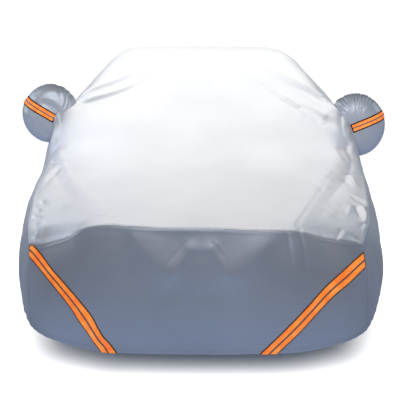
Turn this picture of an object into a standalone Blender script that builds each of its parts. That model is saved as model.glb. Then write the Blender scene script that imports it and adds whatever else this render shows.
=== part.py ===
"""Fitted car cover of coated cloth, in the shape in which it hangs over a saloon car.

Sizes are in metres: X is across the car, Y runs back from its nose, Z is up from the ground. The cover is
modelled in that frame, and the empty that carries it puts the origin under the roof, on the cloth's inner
face, where the car holds it.

The top panel is a row of sections across the car. The skirt hangs from its edge all round, and is cut into
the front, rear and side panels. Main folds are soft ridges and troughs on both. Seams are mitred, so that
each panel has its full thickness up to a seam and the same small gap to its neighbour.
"""

import math

import bmesh
import bpy
import numpy as np

CLOTH = 0.002  # coated cloth with its soft backing
SEAM_GAP = 0.0004  # between panels, and under each layer of a strip
MOUNT_ALONG = 2.35  # the roof's highest place, where the car holds the cover

# One row for each section of the top panel, front to rear. A section runs level from its crown towards
# the rail (bonnet crease, windscreen pillar, roof rail), bends there over `bend`, and goes down to its side
# seam, bowed out by `bow`. `sweep` is how far its sides lie behind its middle, and `slip` how far it has
# slipped to the right.
TOP_COLUMNS = ("along", "sweep", "slip", "crown", "rail_x", "rail_z", "bend", "side_x", "side_z", "bow")
TOP_SECTIONS = (
    (0.06, 0.19, -0.030, 0.832, 0.470, 0.822, 0.10, 0.803, 0.716, 0.000),
    (0.20, 0.18, -0.022, 0.864, 0.490, 0.848, 0.08, 0.825, 0.772, 0.000),
    (0.45, 0.16, -0.010, 0.902, 0.550, 0.876, 0.08, 0.842, 0.830, 0.004),
    (0.75, 0.14, -0.004, 0.938, 0.640, 0.908, 0.08, 0.852, 0.866, 0.008),
    (1.05, 0.13, 0.000, 0.972, 0.720, 0.948, 0.07, 0.860, 0.886, 0.012),
    (1.25, 0.11, 0.000, 1.016, 0.745, 1.010, 0.06, 0.864, 0.892, 0.020),
    (1.50, 0.09, 0.003, 1.155, 0.700, 1.175, 0.06, 0.870, 0.895, 0.030),
    (1.75, 0.07, 0.006, 1.292, 0.640, 1.293, 0.07, 0.873, 0.896, 0.038),
    (2.00, 0.04, 0.008, 1.388, 0.575, 1.372, 0.09, 0.875, 0.898, 0.036),
    (2.35, 0.00, 0.008, 1.432, 0.520, 1.418, 0.11, 0.876, 0.900, 0.026),
    (2.90, 0.00, 0.006, 1.402, 0.505, 1.388, 0.11, 0.876, 0.900, 0.026),
    (3.40, -0.04, 0.000, 1.318, 0.510, 1.295, 0.11, 0.873, 0.900, 0.026),
    (3.80, -0.08, 0.000, 1.180, 0.550, 1.150, 0.10, 0.860, 0.896, 0.020),
    (4.08, -0.10, 0.000, 1.075, 0.600, 1.040, 0.10, 0.842, 0.888, 0.010),
    (4.42, -0.13, 0.000, 1.025, 0.600, 0.998, 0.10, 0.802, 0.868, 0.004),
    (4.58, -0.14, 0.000, 0.985, 0.580, 0.960, 0.10, 0.765, 0.850, 0.000),
)

# One row for each section of the skirt, anticlockwise from above: `turn` is 0 at the front left corner
# seam, 1 at the front right, 2 at the rear right and 3 at the rear left. Each section hangs from the top
# panel's edge, through its waist, to the elastic hem.
SKIRT_COLUMNS = ("turn", "waist_x", "waist_y", "waist_z", "hem_x", "hem_y", "hem_z")
SKIRT_SECTIONS = (
    (0.00, -0.835, 0.235, 0.480, -0.820, 0.215, 0.312),
    (0.10, -0.700, 0.105, 0.500, -0.665, 0.135, 0.257),
    (0.25, -0.430, 0.025, 0.510, -0.430, 0.070, 0.226),
    (0.50, -0.010, 0.000, 0.520, 0.000, 0.050, 0.222),
    (0.75, 0.410, 0.020, 0.510, 0.420, 0.065, 0.226),
    (0.90, 0.660, 0.095, 0.500, 0.650, 0.125, 0.254),
    (1.00, 0.795, 0.225, 0.490, 0.785, 0.205, 0.292),
    (1.06, 0.886, 0.460, 0.610, 0.868, 0.380, 0.425),
    (1.15, 0.908, 0.860, 0.660, 0.895, 0.840, 0.500),
    (1.28, 0.915, 1.400, 0.620, 0.868, 1.400, 0.350),
    (1.50, 0.918, 2.350, 0.600, 0.862, 2.350, 0.300),
    (1.72, 0.915, 3.300, 0.620, 0.868, 3.300, 0.350),
    (1.84, 0.900, 3.780, 0.660, 0.885, 3.780, 0.500),
    (1.94, 0.855, 4.220, 0.620, 0.835, 4.200, 0.400),
    (2.00, 0.785, 4.470, 0.580, 0.770, 4.440, 0.320),
    (2.10, 0.660, 4.600, 0.580, 0.640, 4.555, 0.280),
    (2.25, 0.410, 4.670, 0.590, 0.400, 4.615, 0.265),
    (2.50, 0.000, 4.690, 0.600, 0.000, 4.630, 0.260),
    (2.75, -0.410, 4.670, 0.590, -0.400, 4.615, 0.265),
    (2.90, -0.660, 4.600, 0.580, -0.640, 4.555, 0.282),
    (3.00, -0.785, 4.470, 0.580, -0.770, 4.440, 0.325),
    (3.06, -0.855, 4.220, 0.620, -0.835, 4.200, 0.410),
    (3.16, -0.900, 3.780, 0.660, -0.885, 3.780, 0.510),
    (3.28, -0.915, 3.300, 0.620, -0.868, 3.300, 0.360),
    (3.50, -0.918, 2.350, 0.600, -0.862, 2.350, 0.310),
    (3.72, -0.918, 1.400, 0.625, -0.870, 1.400, 0.370),
    (3.85, -0.915, 0.860, 0.690, -0.905, 0.840, 0.570),
    (3.94, -0.898, 0.460, 0.620, -0.882, 0.410, 0.420),
)

# Main folds: how far each stands out at its first and its last point (in, where negative), its half width,
# and its line on the cloth. Lines are seen from above on the top panel (x, y), from the front on the front
# panel (x, z), and from the side on the side panels (y, z).
FOLD_COLUMNS = ("first", "last", "width", "line")
TOP_FOLDS = (
    (0.012, 0.003, 0.045, ((-0.72, 1.70), (-0.44, 1.84), (-0.27, 1.98))),
    (-0.010, -0.002, 0.040, ((-0.70, 1.60), (-0.51, 1.68), (-0.41, 1.74), (-0.19, 1.94))),
    (0.012, 0.003, 0.045, ((0.72, 1.66), (0.54, 1.78), (0.32, 1.96))),
    (-0.010, -0.002, 0.040, ((0.72, 1.52), (0.53, 1.60), (0.36, 1.78), (0.23, 1.88))),
    (0.062, 0.040, 0.065, ((-0.75, 1.58), (-0.79, 1.48))),
    (0.046, 0.030, 0.060, ((0.74, 1.58), (0.79, 1.50))),
    (0.014, 0.006, 0.060, ((0.82, 1.42), (0.80, 1.24), (0.76, 1.06))),
    (0.008, 0.008, 0.040, ((-0.77, 1.35), (-0.69, 0.89), (-0.61, 0.62), (-0.49, 0.30), (-0.41, 0.16))),
    (0.010, 0.010, 0.035, ((0.76, 1.22), (0.72, 1.06), (0.62, 0.70), (0.50, 0.33), (0.46, 0.19))),
    (-0.008, -0.004, 0.050, ((-0.82, 0.60), (-0.70, 0.50))),
    (0.012, 0.010, 0.110, ((-0.55, 0.13), (-0.35, 0.08))),
    (-0.030, -0.026, 0.075, ((-0.76, 0.22), (-0.66, 0.18))),
    (-0.012, -0.018, 0.130, ((0.26, 0.08), (0.60, 0.14))),
    (0.008, 0.002, 0.060, ((-0.50, 3.55), (-0.30, 3.80), (-0.20, 4.00))),
    (0.008, 0.002, 0.060, ((0.50, 3.55), (0.32, 3.82), (0.18, 4.02))),
)
FRONT_FOLDS = (
    (0.012, 0.006, 0.050, ((-0.33, 0.82), (-0.19, 0.65))),
    (0.012, 0.006, 0.050, ((0.33, 0.79), (0.15, 0.61))),
    (0.012, 0.010, 0.045, ((-0.06, 0.75), (-0.14, 0.64))),
    (0.012, 0.010, 0.045, ((0.04, 0.75), (0.12, 0.63))),
    (-0.010, -0.010, 0.060, ((-0.15, 0.56), (0.06, 0.56))),
)
SIDE_FOLDS = (
    (0.010, 0.004, 0.060, ((0.46, 0.78), (0.42, 0.50))),
    (-0.008, -0.006, 0.050, ((0.62, 0.84), (0.64, 0.62))),
    (0.008, 0.010, 0.070, ((1.22, 0.88), (1.30, 0.42))),
    (-0.006, -0.010, 0.070, ((1.55, 0.80), (1.58, 0.40))),
    (0.006, 0.010, 0.080, ((2.05, 0.84), (2.00, 0.40))),
    (-0.006, -0.010, 0.070, ((2.60, 0.80), (2.62, 0.36))),
    (0.006, 0.010, 0.080, ((3.10, 0.86), (3.06, 0.42))),
    (-0.006, -0.008, 0.060, ((4.05, 0.84), (4.12, 0.50))),
)
REAR_FOLDS = (
    (0.008, 0.004, 0.060, ((-0.45, 0.84), (-0.36, 0.44))),
    (0.008, 0.004, 0.060, ((0.42, 0.84), (0.38, 0.44))),
)

# The mirror pockets: flattened round bags, each with its middle, its half sizes, and the gathers that stand
# out all round its upper half, where it is fuller than the mirror in it.
POCKET_COLUMNS = ("x", "y", "z", "wide", "deep", "high", "gather", "gathers")
POCKETS = {
    "left": (-0.835, 1.620, 1.160, 0.153, 0.080, 0.160, 0.003, 8),
    "right": (0.850, 1.620, 1.095, 0.160, 0.082, 0.172, 0.005, 12),
}
POCKET_SQUARE = 0.8  # 1 would make the pockets ellipsoids, and less makes their rims blunter
POCKET_ROOT = 0.030  # how far a pocket's mouth reaches in past the panel it is sewn to, taken without folds

# High-visibility strips, seen from the front: points (x, z) along the middle of each, and its width there
# over the black edging. Front strips run up from the hem to the corner seam, and end there.
STRIP_COLUMNS = ("x", "z", "width")
FRONT_STRIPS = {
    "left": (
        (-0.391, 0.150, 0.071),
        (-0.440, 0.216, 0.071),
        (-0.488, 0.282, 0.070),
        (-0.537, 0.365, 0.058),
        (-0.612, 0.474, 0.050),
        (-0.671, 0.543, 0.047),
        (-0.762, 0.625, 0.050),
        (-0.900, 0.749, 0.050),
    ),
    "right": (
        (0.245, 0.150, 0.062),
        (0.321, 0.228, 0.062),
        (0.443, 0.358, 0.064),
        (0.520, 0.442, 0.062),
        (0.602, 0.524, 0.065),
        (0.694, 0.587, 0.069),
        (0.786, 0.644, 0.068),
        (0.880, 0.702, 0.068),
    ),
}
POCKET_STRIPS = {
    "left": ((-1.050, 1.284, 0.050), (-0.806, 1.140, 0.050)),
    "right": ((0.823, 1.085, 0.050), (1.070, 1.184, 0.050)),
}
EDGING = 0.003  # how much of the black edging shows beside the tape
REFLECTOR = 0.008
STRIP_REACH = (-0.2, 0.5)  # from y to y, past the front panel both ways
POCKET_STRIP_REACH = 0.2  # forward from the pocket's middle, past its front
SEAM_CUT = 0.05  # width of the cutter that ends a strip's tape beside the corner seam

# The layers of a strip, from the cloth out: how thick each is, and its material.
LAYER_COLUMNS = ("layer", "thick", "finish")
LAYERS = (
    ("edging", 0.0012, "black_edging"),
    ("tape", 0.0010, "orange_tape"),
    ("reflector", 0.0010, "grey_reflector"),
)

# How finely each panel is cut into facets. Along the cover, each row is a stretch and its number of facets.
ACROSS = 32
ALONG = ((0.06, 1.26, 15), (1.26, 2.10, 14), (2.10, 4.58, 15))
DOWN = 8
POCKET_ROUND = 32
POCKET_DEEP = 8

# sRGB colour, roughness and metallic value of each material.
FINISHES = {
    "silver_cloth": ("CDD2D9", 0.45, 0.35),
    "black_edging": ("1C1614", 0.80, 0.00),
    "orange_tape": ("FF7F27", 0.60, 0.00),
    "grey_reflector": ("8A7468", 0.40, 0.30),
}


def curve(knots, values, at):
    """A smooth curve through the knots that never swings past them."""
    step = np.diff(knots)
    slope = np.diff(values) / step
    both = slope[:-1] + slope[1:]
    same = slope[:-1] * slope[1:] > 0
    tangent = np.concatenate([slope[:1], np.zeros(len(step) - 1), slope[-1:]])
    tangent[1:-1][same] = 2 * (slope[:-1] * slope[1:])[same] / both[same]
    place = np.clip(np.searchsorted(knots, at) - 1, 0, len(step) - 1)
    gap = step[place]
    t = (at - knots[place]) / gap
    return (
        (1 + 2 * t) * (1 - t) ** 2 * values[place]
        + t * (1 - t) ** 2 * gap * tangent[place]
        + t**2 * (3 - 2 * t) * values[place + 1]
        - t**2 * (1 - t) * gap * tangent[place + 1]
    )


def read_table(columns, rows, at):
    """Each column of a table, as a smooth curve read at the values `at` of its first column."""
    data = np.array(rows)
    at = np.asarray(at, float)
    return {name: curve(data[:, 0], data[:, k], at) for k, name in enumerate(columns) if k}


def bezier(start, control, end, t):
    return (1 - t) ** 2 * start + 2 * t * (1 - t) * control + t**2 * end


def half_section(crown, rail, side, bend, bow, shares):
    """Points (x, z) of a section from its crown to its side seam, at equal shares of its length."""
    control = np.array([rail[0] / 2, crown[1]])
    before = rail + bend * (control - rail) / np.linalg.norm(control - rail)
    after = rail + bend * (side - rail) / np.linalg.norm(side - rail)
    run = side - after
    outward = np.array([-run[1], run[0]]) / np.linalg.norm(run)
    belly = (after + side) / 2 + 2 * bow * outward
    t = np.linspace(0, 1, 25)[:, None]
    arcs = ((crown, control, before), (before, rail, after), (after, belly, side))
    path = np.vstack([bezier(*arc, t) for arc in arcs])
    length = np.concatenate([[0], np.cumsum(np.linalg.norm(np.diff(path, axis=0), axis=1))])
    return np.stack([np.interp(shares * length[-1], length, path[:, k]) for k in (0, 1)], axis=-1)


def along_stations():
    """Where the sections lie, nearer each other at the front, where the folds are."""
    return np.unique(np.concatenate([np.linspace(start, end, n + 1) for start, end, n in ALONG]))


def across_shares():
    """The points' shares of a half section, -1 at the left seam to 1, nearer each other at the sides."""
    even = np.linspace(-1, 1, ACROSS + 1)
    return np.sign(even) * np.abs(even) ** 0.8


def top_surface(stations):
    """The top panel's outer surface as a grid of points: a row for each station, left to right."""
    table = read_table(TOP_COLUMNS, TOP_SECTIONS, stations)
    shares = across_shares()
    rows = []
    for k, along in enumerate(stations):
        at = {name: values[k] for name, values in table.items()}
        crown = np.array([0, at["crown"]])
        rail = np.array([at["rail_x"], at["rail_z"]])
        side = np.array([at["side_x"], at["side_z"]])
        points = half_section(crown, rail, side, at["bend"], at["bow"], np.abs(shares))
        x = np.sign(shares) * points[:, 0]
        y = along + at["sweep"] * (x / at["side_x"]) ** 2
        rows.append(np.stack([x + at["slip"], y, points[:, 1]], axis=-1))
    return np.array(rows)


def skirt_edge(top, stations):
    """(turns, points) of the top panel's edge, all the way round from the front left corner."""
    across = (across_shares() + 1) / 2
    along = (stations - stations[0]) / (stations[-1] - stations[0])
    turns = np.concatenate([across, 1 + along[1:], 2 + across[1:], 3 + (1 - along[::-1])[1:]])
    points = np.concatenate([top[0], top[1:, -1], top[-1, -2::-1], top[-2::-1, 0]])
    return turns, points


def skirt_surface(turns, edge):
    """The skirt's outer surface as a grid of points: rows run up from the hem, columns go round."""
    before = (SKIRT_SECTIONS[-1][0] - 4, *SKIRT_SECTIONS[-1][1:])
    after = [(turn + 4, *places) for turn, *places in SKIRT_SECTIONS[:2]]
    rows = [before, *SKIRT_SECTIONS, *after]
    table = read_table(SKIRT_COLUMNS, rows, turns)
    waist = np.stack([table[f"waist_{axis}"] for axis in "xyz"], axis=-1)
    hem = np.stack([table[f"hem_{axis}"] for axis in "xyz"], axis=-1)
    upper = np.linalg.norm(edge - waist, axis=1)
    lower = np.linalg.norm(waist - hem, axis=1)
    middle = (lower / (lower + upper))[:, None]
    grid = []
    for t in np.linspace(0, 1, DOWN + 1):
        grid.append(
            hem * (t - middle) * (t - 1) / middle
            + waist * t * (t - 1) / (middle * (middle - 1))
            + edge * t * (t - middle) / (1 - middle)
        )
    return np.array(grid)


def grid_normals(grid):
    """The outward normal at each point of a grid whose rows run up and columns run left to right."""
    normals = np.cross(np.gradient(grid, axis=1), np.gradient(grid, axis=0))
    return normals / np.linalg.norm(normals, axis=-1, keepdims=True)


def ring_normals(grid):
    """The outward normals of a grid that closes on itself: its last column repeats its first."""
    wrapped = np.concatenate([grid[:, -2:-1], grid, grid[:, 1:2]], axis=1)
    return grid_normals(wrapped)[:, 1:-1]


def fold_height(seen, folds):
    """How far the folds lift each point, given where it is seen in the folds' own plane."""
    height = np.zeros(seen.shape[:-1])
    for row in folds:
        fold = dict(zip(FOLD_COLUMNS, row))
        line = np.array(fold["line"])
        lengths = np.linalg.norm(np.diff(line, axis=0), axis=1)
        nearest = np.full(height.shape, np.inf)
        share = np.zeros(height.shape)
        done = 0
        for start, end, length in zip(line[:-1], line[1:], lengths):
            t = np.clip((seen - start) @ (end - start) / length**2, 0, 1)
            distance = np.linalg.norm(seen - start - t[..., None] * (end - start), axis=-1)
            closer = distance < nearest
            share = np.where(closer, (done + t * length) / lengths.sum(), share)
            nearest = np.where(closer, distance, nearest)
            done += length
        stands = fold["first"] + (fold["last"] - fold["first"]) * share
        height += stands * np.exp(-((nearest / fold["width"]) ** 2))
    return height


def folded_top(stations):
    top = top_surface(stations)
    height = fold_height(top[..., :2], TOP_FOLDS)
    return top + height[..., None] * grid_normals(top)


def folded_skirt(turns, edge):
    """The skirt with its folds, which fade out where it is sewn to the top panel."""
    skirt = skirt_surface(turns, edge)
    across, along, up = skirt[..., 0], skirt[..., 1], skirt[..., 2]
    front = (turns <= 1) * fold_height(np.stack([across, up], axis=-1), FRONT_FOLDS)
    rear = ((turns >= 2) & (turns <= 3)) * fold_height(np.stack([across, up], axis=-1), REAR_FOLDS)
    sides = ((turns % 2) > 1) * fold_height(np.stack([along, up], axis=-1), SIDE_FOLDS)
    fade = np.sqrt(np.linspace(1, 0, DOWN + 1))[:, None]
    corner = np.clip(np.abs((turns + 0.5) % 1 - 0.5) / 0.04, 0, 1)
    height = (front + rear + sides) * fade * corner
    return skirt + height[..., None] * ring_normals(skirt)


def shared_normals(panels):
    """At each point that panels share, the average of their normals, so that their seams are mitred."""
    met = {}
    for points, normals in panels.values():
        for point, normal in zip(points.reshape(-1, 3).round(6).tolist(), normals.reshape(-1, 3)):
            met.setdefault(tuple(point), []).append(normal)
    return met


def pulled_back(grid, sides, by):
    """The grid with the named sides moved in by that much."""
    moved = grid.copy()
    for side in sides:
        edge, inner = {
            "bottom": (np.s_[0], np.s_[1]),
            "top": (np.s_[-1], np.s_[-2]),
            "left": (np.s_[:, 0], np.s_[:, 1]),
            "right": (np.s_[:, -1], np.s_[:, -2]),
        }[side]
        inward = grid[inner] - grid[edge]
        moved[edge] += by * inward / np.linalg.norm(inward, axis=-1, keepdims=True)
    return moved


def sheet_layers(points, normals, met, near, far):
    """The grid's two faces, `near` and `far` out along its normals, mitred where panels meet."""
    average = np.zeros_like(points)
    for place in np.ndindex(points.shape[:2]):
        shared = np.sum(met[tuple(points[place].round(6).tolist())], axis=0)
        shared /= np.linalg.norm(shared)
        average[place] = shared / np.dot(shared, normals[place])
    return points + near * average, points + far * average


def sheet_mesh(name, lower, upper):
    """A closed mesh between two like grids, in triangles, with its rim."""
    rows, columns = lower.shape[:2]
    index = np.arange(rows * columns).reshape(rows, columns)
    a, b, c, d = (part.ravel() for part in (index[:-1, :-1], index[:-1, 1:], index[1:, 1:], index[1:, :-1]))
    skin = np.concatenate([np.stack([a, b, c], axis=1), np.stack([a, c, d], axis=1)])
    rim = np.concatenate([index[0, :-1], index[:-1, -1], index[-1, :0:-1], index[:0:-1, 0]])
    after = np.roll(rim, -1)
    count = rows * columns
    sides = np.concatenate(
        [np.stack([rim, after, after + count], axis=1), np.stack([rim, after + count, rim + count], axis=1)]
    )
    faces = np.concatenate([skin + count, skin[:, ::-1], sides])
    points = np.concatenate([lower.reshape(-1, 3), upper.reshape(-1, 3)])
    mesh = bpy.data.meshes.new(name)
    mesh.from_pydata(points.tolist(), [], faces.tolist())
    return mesh


def material(name):
    """A Principled material with its finish."""
    colour, roughness, metallic = FINISHES[name]
    made = bpy.data.materials.new(name)
    made.use_nodes = True
    shader = made.node_tree.nodes["Principled BSDF"]
    values = [int(colour[k : k + 2], 16) / 255 for k in (0, 2, 4)]
    linear = [v / 12.92 if v <= 0.04045 else ((v + 0.055) / 1.055) ** 2.4 for v in values]
    shader.inputs["Base Color"].default_value = (*linear, 1)
    shader.inputs["Roughness"].default_value = roughness
    shader.inputs["Metallic"].default_value = metallic
    return made


def add_object(name, mesh, carrier, finish=None):
    """An object carried by the empty. One with no finish is a cutter, which isn't part of the cover."""
    made = bpy.data.objects.new(name, mesh)
    made.parent = carrier
    bpy.context.scene.collection.objects.link(made)
    if finish:
        mesh.materials.append(finish)
        mesh.shade_smooth()
    else:
        made.hide_render = True
        made.display_type = "WIRE"
    return made


def add_boolean(made, operation, cutter):
    boolean = made.modifiers.new(f"{operation.lower()}_{cutter.name}", "BOOLEAN")
    boolean.operation = operation
    boolean.object = cutter


def pocket_bag(side, grow=0.0):
    """The whole flattened bag as a closed bmesh, from the middle of its front to the middle of its back."""
    pocket = dict(zip(POCKET_COLUMNS, POCKETS[side]))
    around = np.linspace(0, 2 * math.pi, POCKET_ROUND, endpoint=False)
    ripple = pocket["gather"] * np.clip(np.sin(around), 0, 1) * np.cos(pocket["gathers"] * around)
    bag = bmesh.new()
    rings = []
    for tilt in np.linspace(0, math.pi, POCKET_DEEP + 1)[1:-1]:
        share = math.sin(tilt) ** POCKET_SQUARE
        x = pocket["x"] + (pocket["wide"] * share + grow) * np.cos(around)
        y = pocket["y"] - (pocket["deep"] + ripple * math.sin(tilt) + grow) * math.cos(tilt)
        z = pocket["z"] + (pocket["high"] * share + grow) * np.sin(around)
        rings.append([bag.verts.new(point) for point in zip(x, y, z)])
    reach = pocket["deep"] + grow
    front = bag.verts.new((pocket["x"], pocket["y"] - reach, pocket["z"]))
    back = bag.verts.new((pocket["x"], pocket["y"] + reach, pocket["z"]))
    for k in range(POCKET_ROUND):
        after = (k + 1) % POCKET_ROUND
        bag.faces.new((front, rings[0][k], rings[0][after]))
        bag.faces.new((back, rings[-1][after], rings[-1][k]))
        for ring, following in zip(rings[:-1], rings[1:]):
            bag.faces.new((ring[k], following[k], following[after]))
            bag.faces.new((ring[k], following[after], ring[after]))
    bmesh.ops.recalc_face_normals(bag, faces=bag.faces)
    return bag


def cut_at_root(bag, point, normal):
    """Opens the bag by cutting away what lies more than POCKET_ROOT inside the panel's plane at `point`."""
    parts = [*bag.verts, *bag.edges, *bag.faces]
    place = (point - POCKET_ROOT * normal).tolist()
    bmesh.ops.bisect_plane(bag, geom=parts, plane_co=place, plane_no=normal.tolist(), clear_inner=True)
    bmesh.ops.triangulate(bag, faces=bag.faces)


def to_mesh(name, working):
    made = bpy.data.meshes.new(name)
    working.to_mesh(made)
    working.free()
    return made


def strip_prism(name, path, widths, before, behind):
    """A closed mesh of a strip's outline from the front, from y = `before` to y = `behind`."""
    along = np.gradient(path, axis=0)
    along /= np.linalg.norm(along, axis=1)[:, None]
    aside = np.stack([along[:, 1], -along[:, 0]], axis=1) * widths[:, None] / 2
    outline = np.stack([path - aside, path + aside], axis=1)
    faces = [np.insert(outline, 1, y, axis=2) for y in (behind, before)]
    return sheet_mesh(name, *faces)


def strip_layers(line):
    """Each layer of a strip: its name, finish, path, widths along the path, and near and far heights."""
    data = dict(zip(STRIP_COLUMNS, np.array(line).T))
    path, widths = np.stack([data["x"], data["z"]], axis=1), data["width"]
    shown = {"edging": widths, "tape": widths - 2 * EDGING, "reflector": np.full(len(line), REFLECTOR)}
    near = SEAM_GAP
    for row in LAYERS:
        layer = dict(zip(LAYER_COLUMNS, row))
        far = near + layer["thick"]
        yield layer["layer"], layer["finish"], path, shown[layer["layer"]], (near, far)
        near = far + SEAM_GAP


def make_front_strip(side, panel, met, carrier, finishes):
    """The layers of a front strip: each is the front panel's own skin, further out, cut to an outline.

    The edging shows beside the corner seam too, where the tape and the reflector stop short of it.
    """
    points, normals = panel
    column, outward = {"left": (0, -1), "right": (-1, 1)}[side]
    beside = points[:, column, ::2] + [outward * (SEAM_CUT / 2 - EDGING), 0]
    seam = strip_prism(f"strip_front_{side}_seam", beside, np.full(len(beside), SEAM_CUT), *STRIP_REACH)
    seam = add_object(seam.name, seam, carrier)
    for layer, finish, path, widths, heights in strip_layers(FRONT_STRIPS[side]):
        name = f"strip_front_{side}_{layer}"
        faces = sheet_layers(points, normals, met, *heights)
        skin = [pulled_back(face, (side,), SEAM_GAP / 2) for face in faces]
        strip = add_object(name, sheet_mesh(name, *skin), carrier, finishes[finish])
        outline = strip_prism(f"{name}_outline", path, widths, *STRIP_REACH)
        add_boolean(strip, "INTERSECT", add_object(outline.name, outline, carrier))
        if layer != "edging":
            add_boolean(strip, "DIFFERENCE", seam)


def make_pocket_strip(side, carrier, finishes):
    """The layers of a pocket's strip: each lies between two bags a little larger than the pocket."""
    ends = {"left": (0, -1), "right": (1, 0)}[side]
    pocket_y = dict(zip(POCKET_COLUMNS, POCKETS[side]))["y"]
    for layer, finish, path, widths, heights in strip_layers(POCKET_STRIPS[side]):
        name = f"strip_mirror_{side}_{layer}"
        if layer != "edging":
            way = (path[1] - path[0]) / np.linalg.norm(path[1] - path[0])
            path = path + EDGING * way * np.array(ends)[:, None]
        prism = strip_prism(name, path, widths, pocket_y - POCKET_STRIP_REACH, pocket_y)
        strip = add_object(name, prism, carrier, finishes[finish])
        for operation, grow in zip(("DIFFERENCE", "INTERSECT"), heights):
            bag = to_mesh(f"{name}_{operation.lower()}", pocket_bag(side, grow))
            add_boolean(strip, operation, add_object(bag.name, bag, carrier))


def make_pocket(side, top_panel, carrier, finish):
    """A mirror pocket, open to the car, and the hole for it in the top panel."""
    name = f"mirror_pocket_{side}"
    points = top_surface(along_stations())
    normals = grid_normals(points)
    middle = np.array(POCKETS[side][:3])
    nearest = np.unravel_index(np.argmin(np.linalg.norm(points - middle, axis=-1)), points.shape[:2])
    bag = pocket_bag(side)
    cut_at_root(bag, points[nearest], normals[nearest])
    pocket = add_object(name, to_mesh(name, bag), carrier, finish)
    wall = pocket.modifiers.new("wall", "SOLIDIFY")
    wall.thickness = CLOTH
    wall.offset = -1
    wall.use_even_offset = True
    hole = to_mesh(f"{name}_hole", pocket_bag(side, SEAM_GAP))
    add_boolean(top_panel, "DIFFERENCE", add_object(hole.name, hole, carrier))


def cover_panels():
    """The five panels as {name: (points, normals)}: grids whose rows run up and columns left to right."""
    stations = along_stations()
    top = folded_top(stations)
    turns, edge = skirt_edge(top, stations)
    skirt = folded_skirt(turns, edge)
    normals = ring_normals(skirt)
    panels = {"top_panel": (top, grid_normals(top))}
    for corner, name in enumerate(("front_panel", "side_panel_right", "rear_panel", "side_panel_left")):
        columns = (turns >= corner) & (turns <= corner + 1)
        panels[name] = (skirt[:, columns], normals[:, columns])
    return panels


def main():
    for old in list(bpy.data.objects):
        bpy.data.objects.remove(old)
    finishes = {name: material(name) for name in FINISHES}
    carrier = bpy.data.objects.new("cover", None)
    bpy.context.scene.collection.objects.link(carrier)
    under_roof = read_table(TOP_COLUMNS, TOP_SECTIONS, [MOUNT_ALONG])["crown"][0] - CLOTH
    carrier.location = (0, -MOUNT_ALONG, -under_roof)

    panels = cover_panels()
    met = shared_normals(panels)
    for name, (points, normals) in panels.items():
        sewn = ("top", "left", "right", "bottom") if name == "top_panel" else ("top", "left", "right")
        faces = sheet_layers(points, normals, met, -CLOTH, 0)
        faces = [pulled_back(face, sewn, SEAM_GAP / 2) for face in faces]
        made = add_object(name, sheet_mesh(name, *faces), carrier, finishes["silver_cloth"])
        if name == "top_panel":
            top_panel = made
    for side in POCKETS:
        make_pocket(side, top_panel, carrier, finishes["silver_cloth"])
        make_front_strip(side, panels["front_panel"], met, carrier, finishes)
        make_pocket_strip(side, carrier, finishes)


main()
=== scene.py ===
"""Fitted car cover of silver-coated cloth: the looks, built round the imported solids.

Sizes are in metres, and those of folds in millimetres. The cover is worked out in the ground frame of its
construction: X is across the cover, Y runs back from its front, Z is up from the ground. MOUNT is the
frame's origin there, under its roof.

Each panel is a thin sheet over its solid, on the same sections and main folds, with the creases, puckers,
hem and stitches that the solid leaves out.
"""

import math

import bmesh
import bpy
import numpy as np
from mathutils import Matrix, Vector, noise
from mathutils.bvhtree import BVHTree


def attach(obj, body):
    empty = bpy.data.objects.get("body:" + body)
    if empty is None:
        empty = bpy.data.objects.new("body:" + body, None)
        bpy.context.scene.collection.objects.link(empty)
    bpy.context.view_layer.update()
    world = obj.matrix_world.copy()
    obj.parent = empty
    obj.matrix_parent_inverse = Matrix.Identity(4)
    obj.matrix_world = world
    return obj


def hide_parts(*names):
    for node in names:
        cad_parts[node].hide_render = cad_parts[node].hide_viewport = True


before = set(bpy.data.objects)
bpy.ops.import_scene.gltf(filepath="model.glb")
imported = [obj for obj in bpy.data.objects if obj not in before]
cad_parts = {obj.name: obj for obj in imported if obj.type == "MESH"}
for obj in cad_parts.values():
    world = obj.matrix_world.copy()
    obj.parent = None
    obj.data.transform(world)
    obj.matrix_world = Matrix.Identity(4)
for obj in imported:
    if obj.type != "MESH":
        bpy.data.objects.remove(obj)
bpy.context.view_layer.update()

MOUNT = np.array([0.0, 2.35, 1.430])
CLOTH = 0.002  # coated cloth with its soft backing

# ---- the cover's sections, as in its solids

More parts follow.
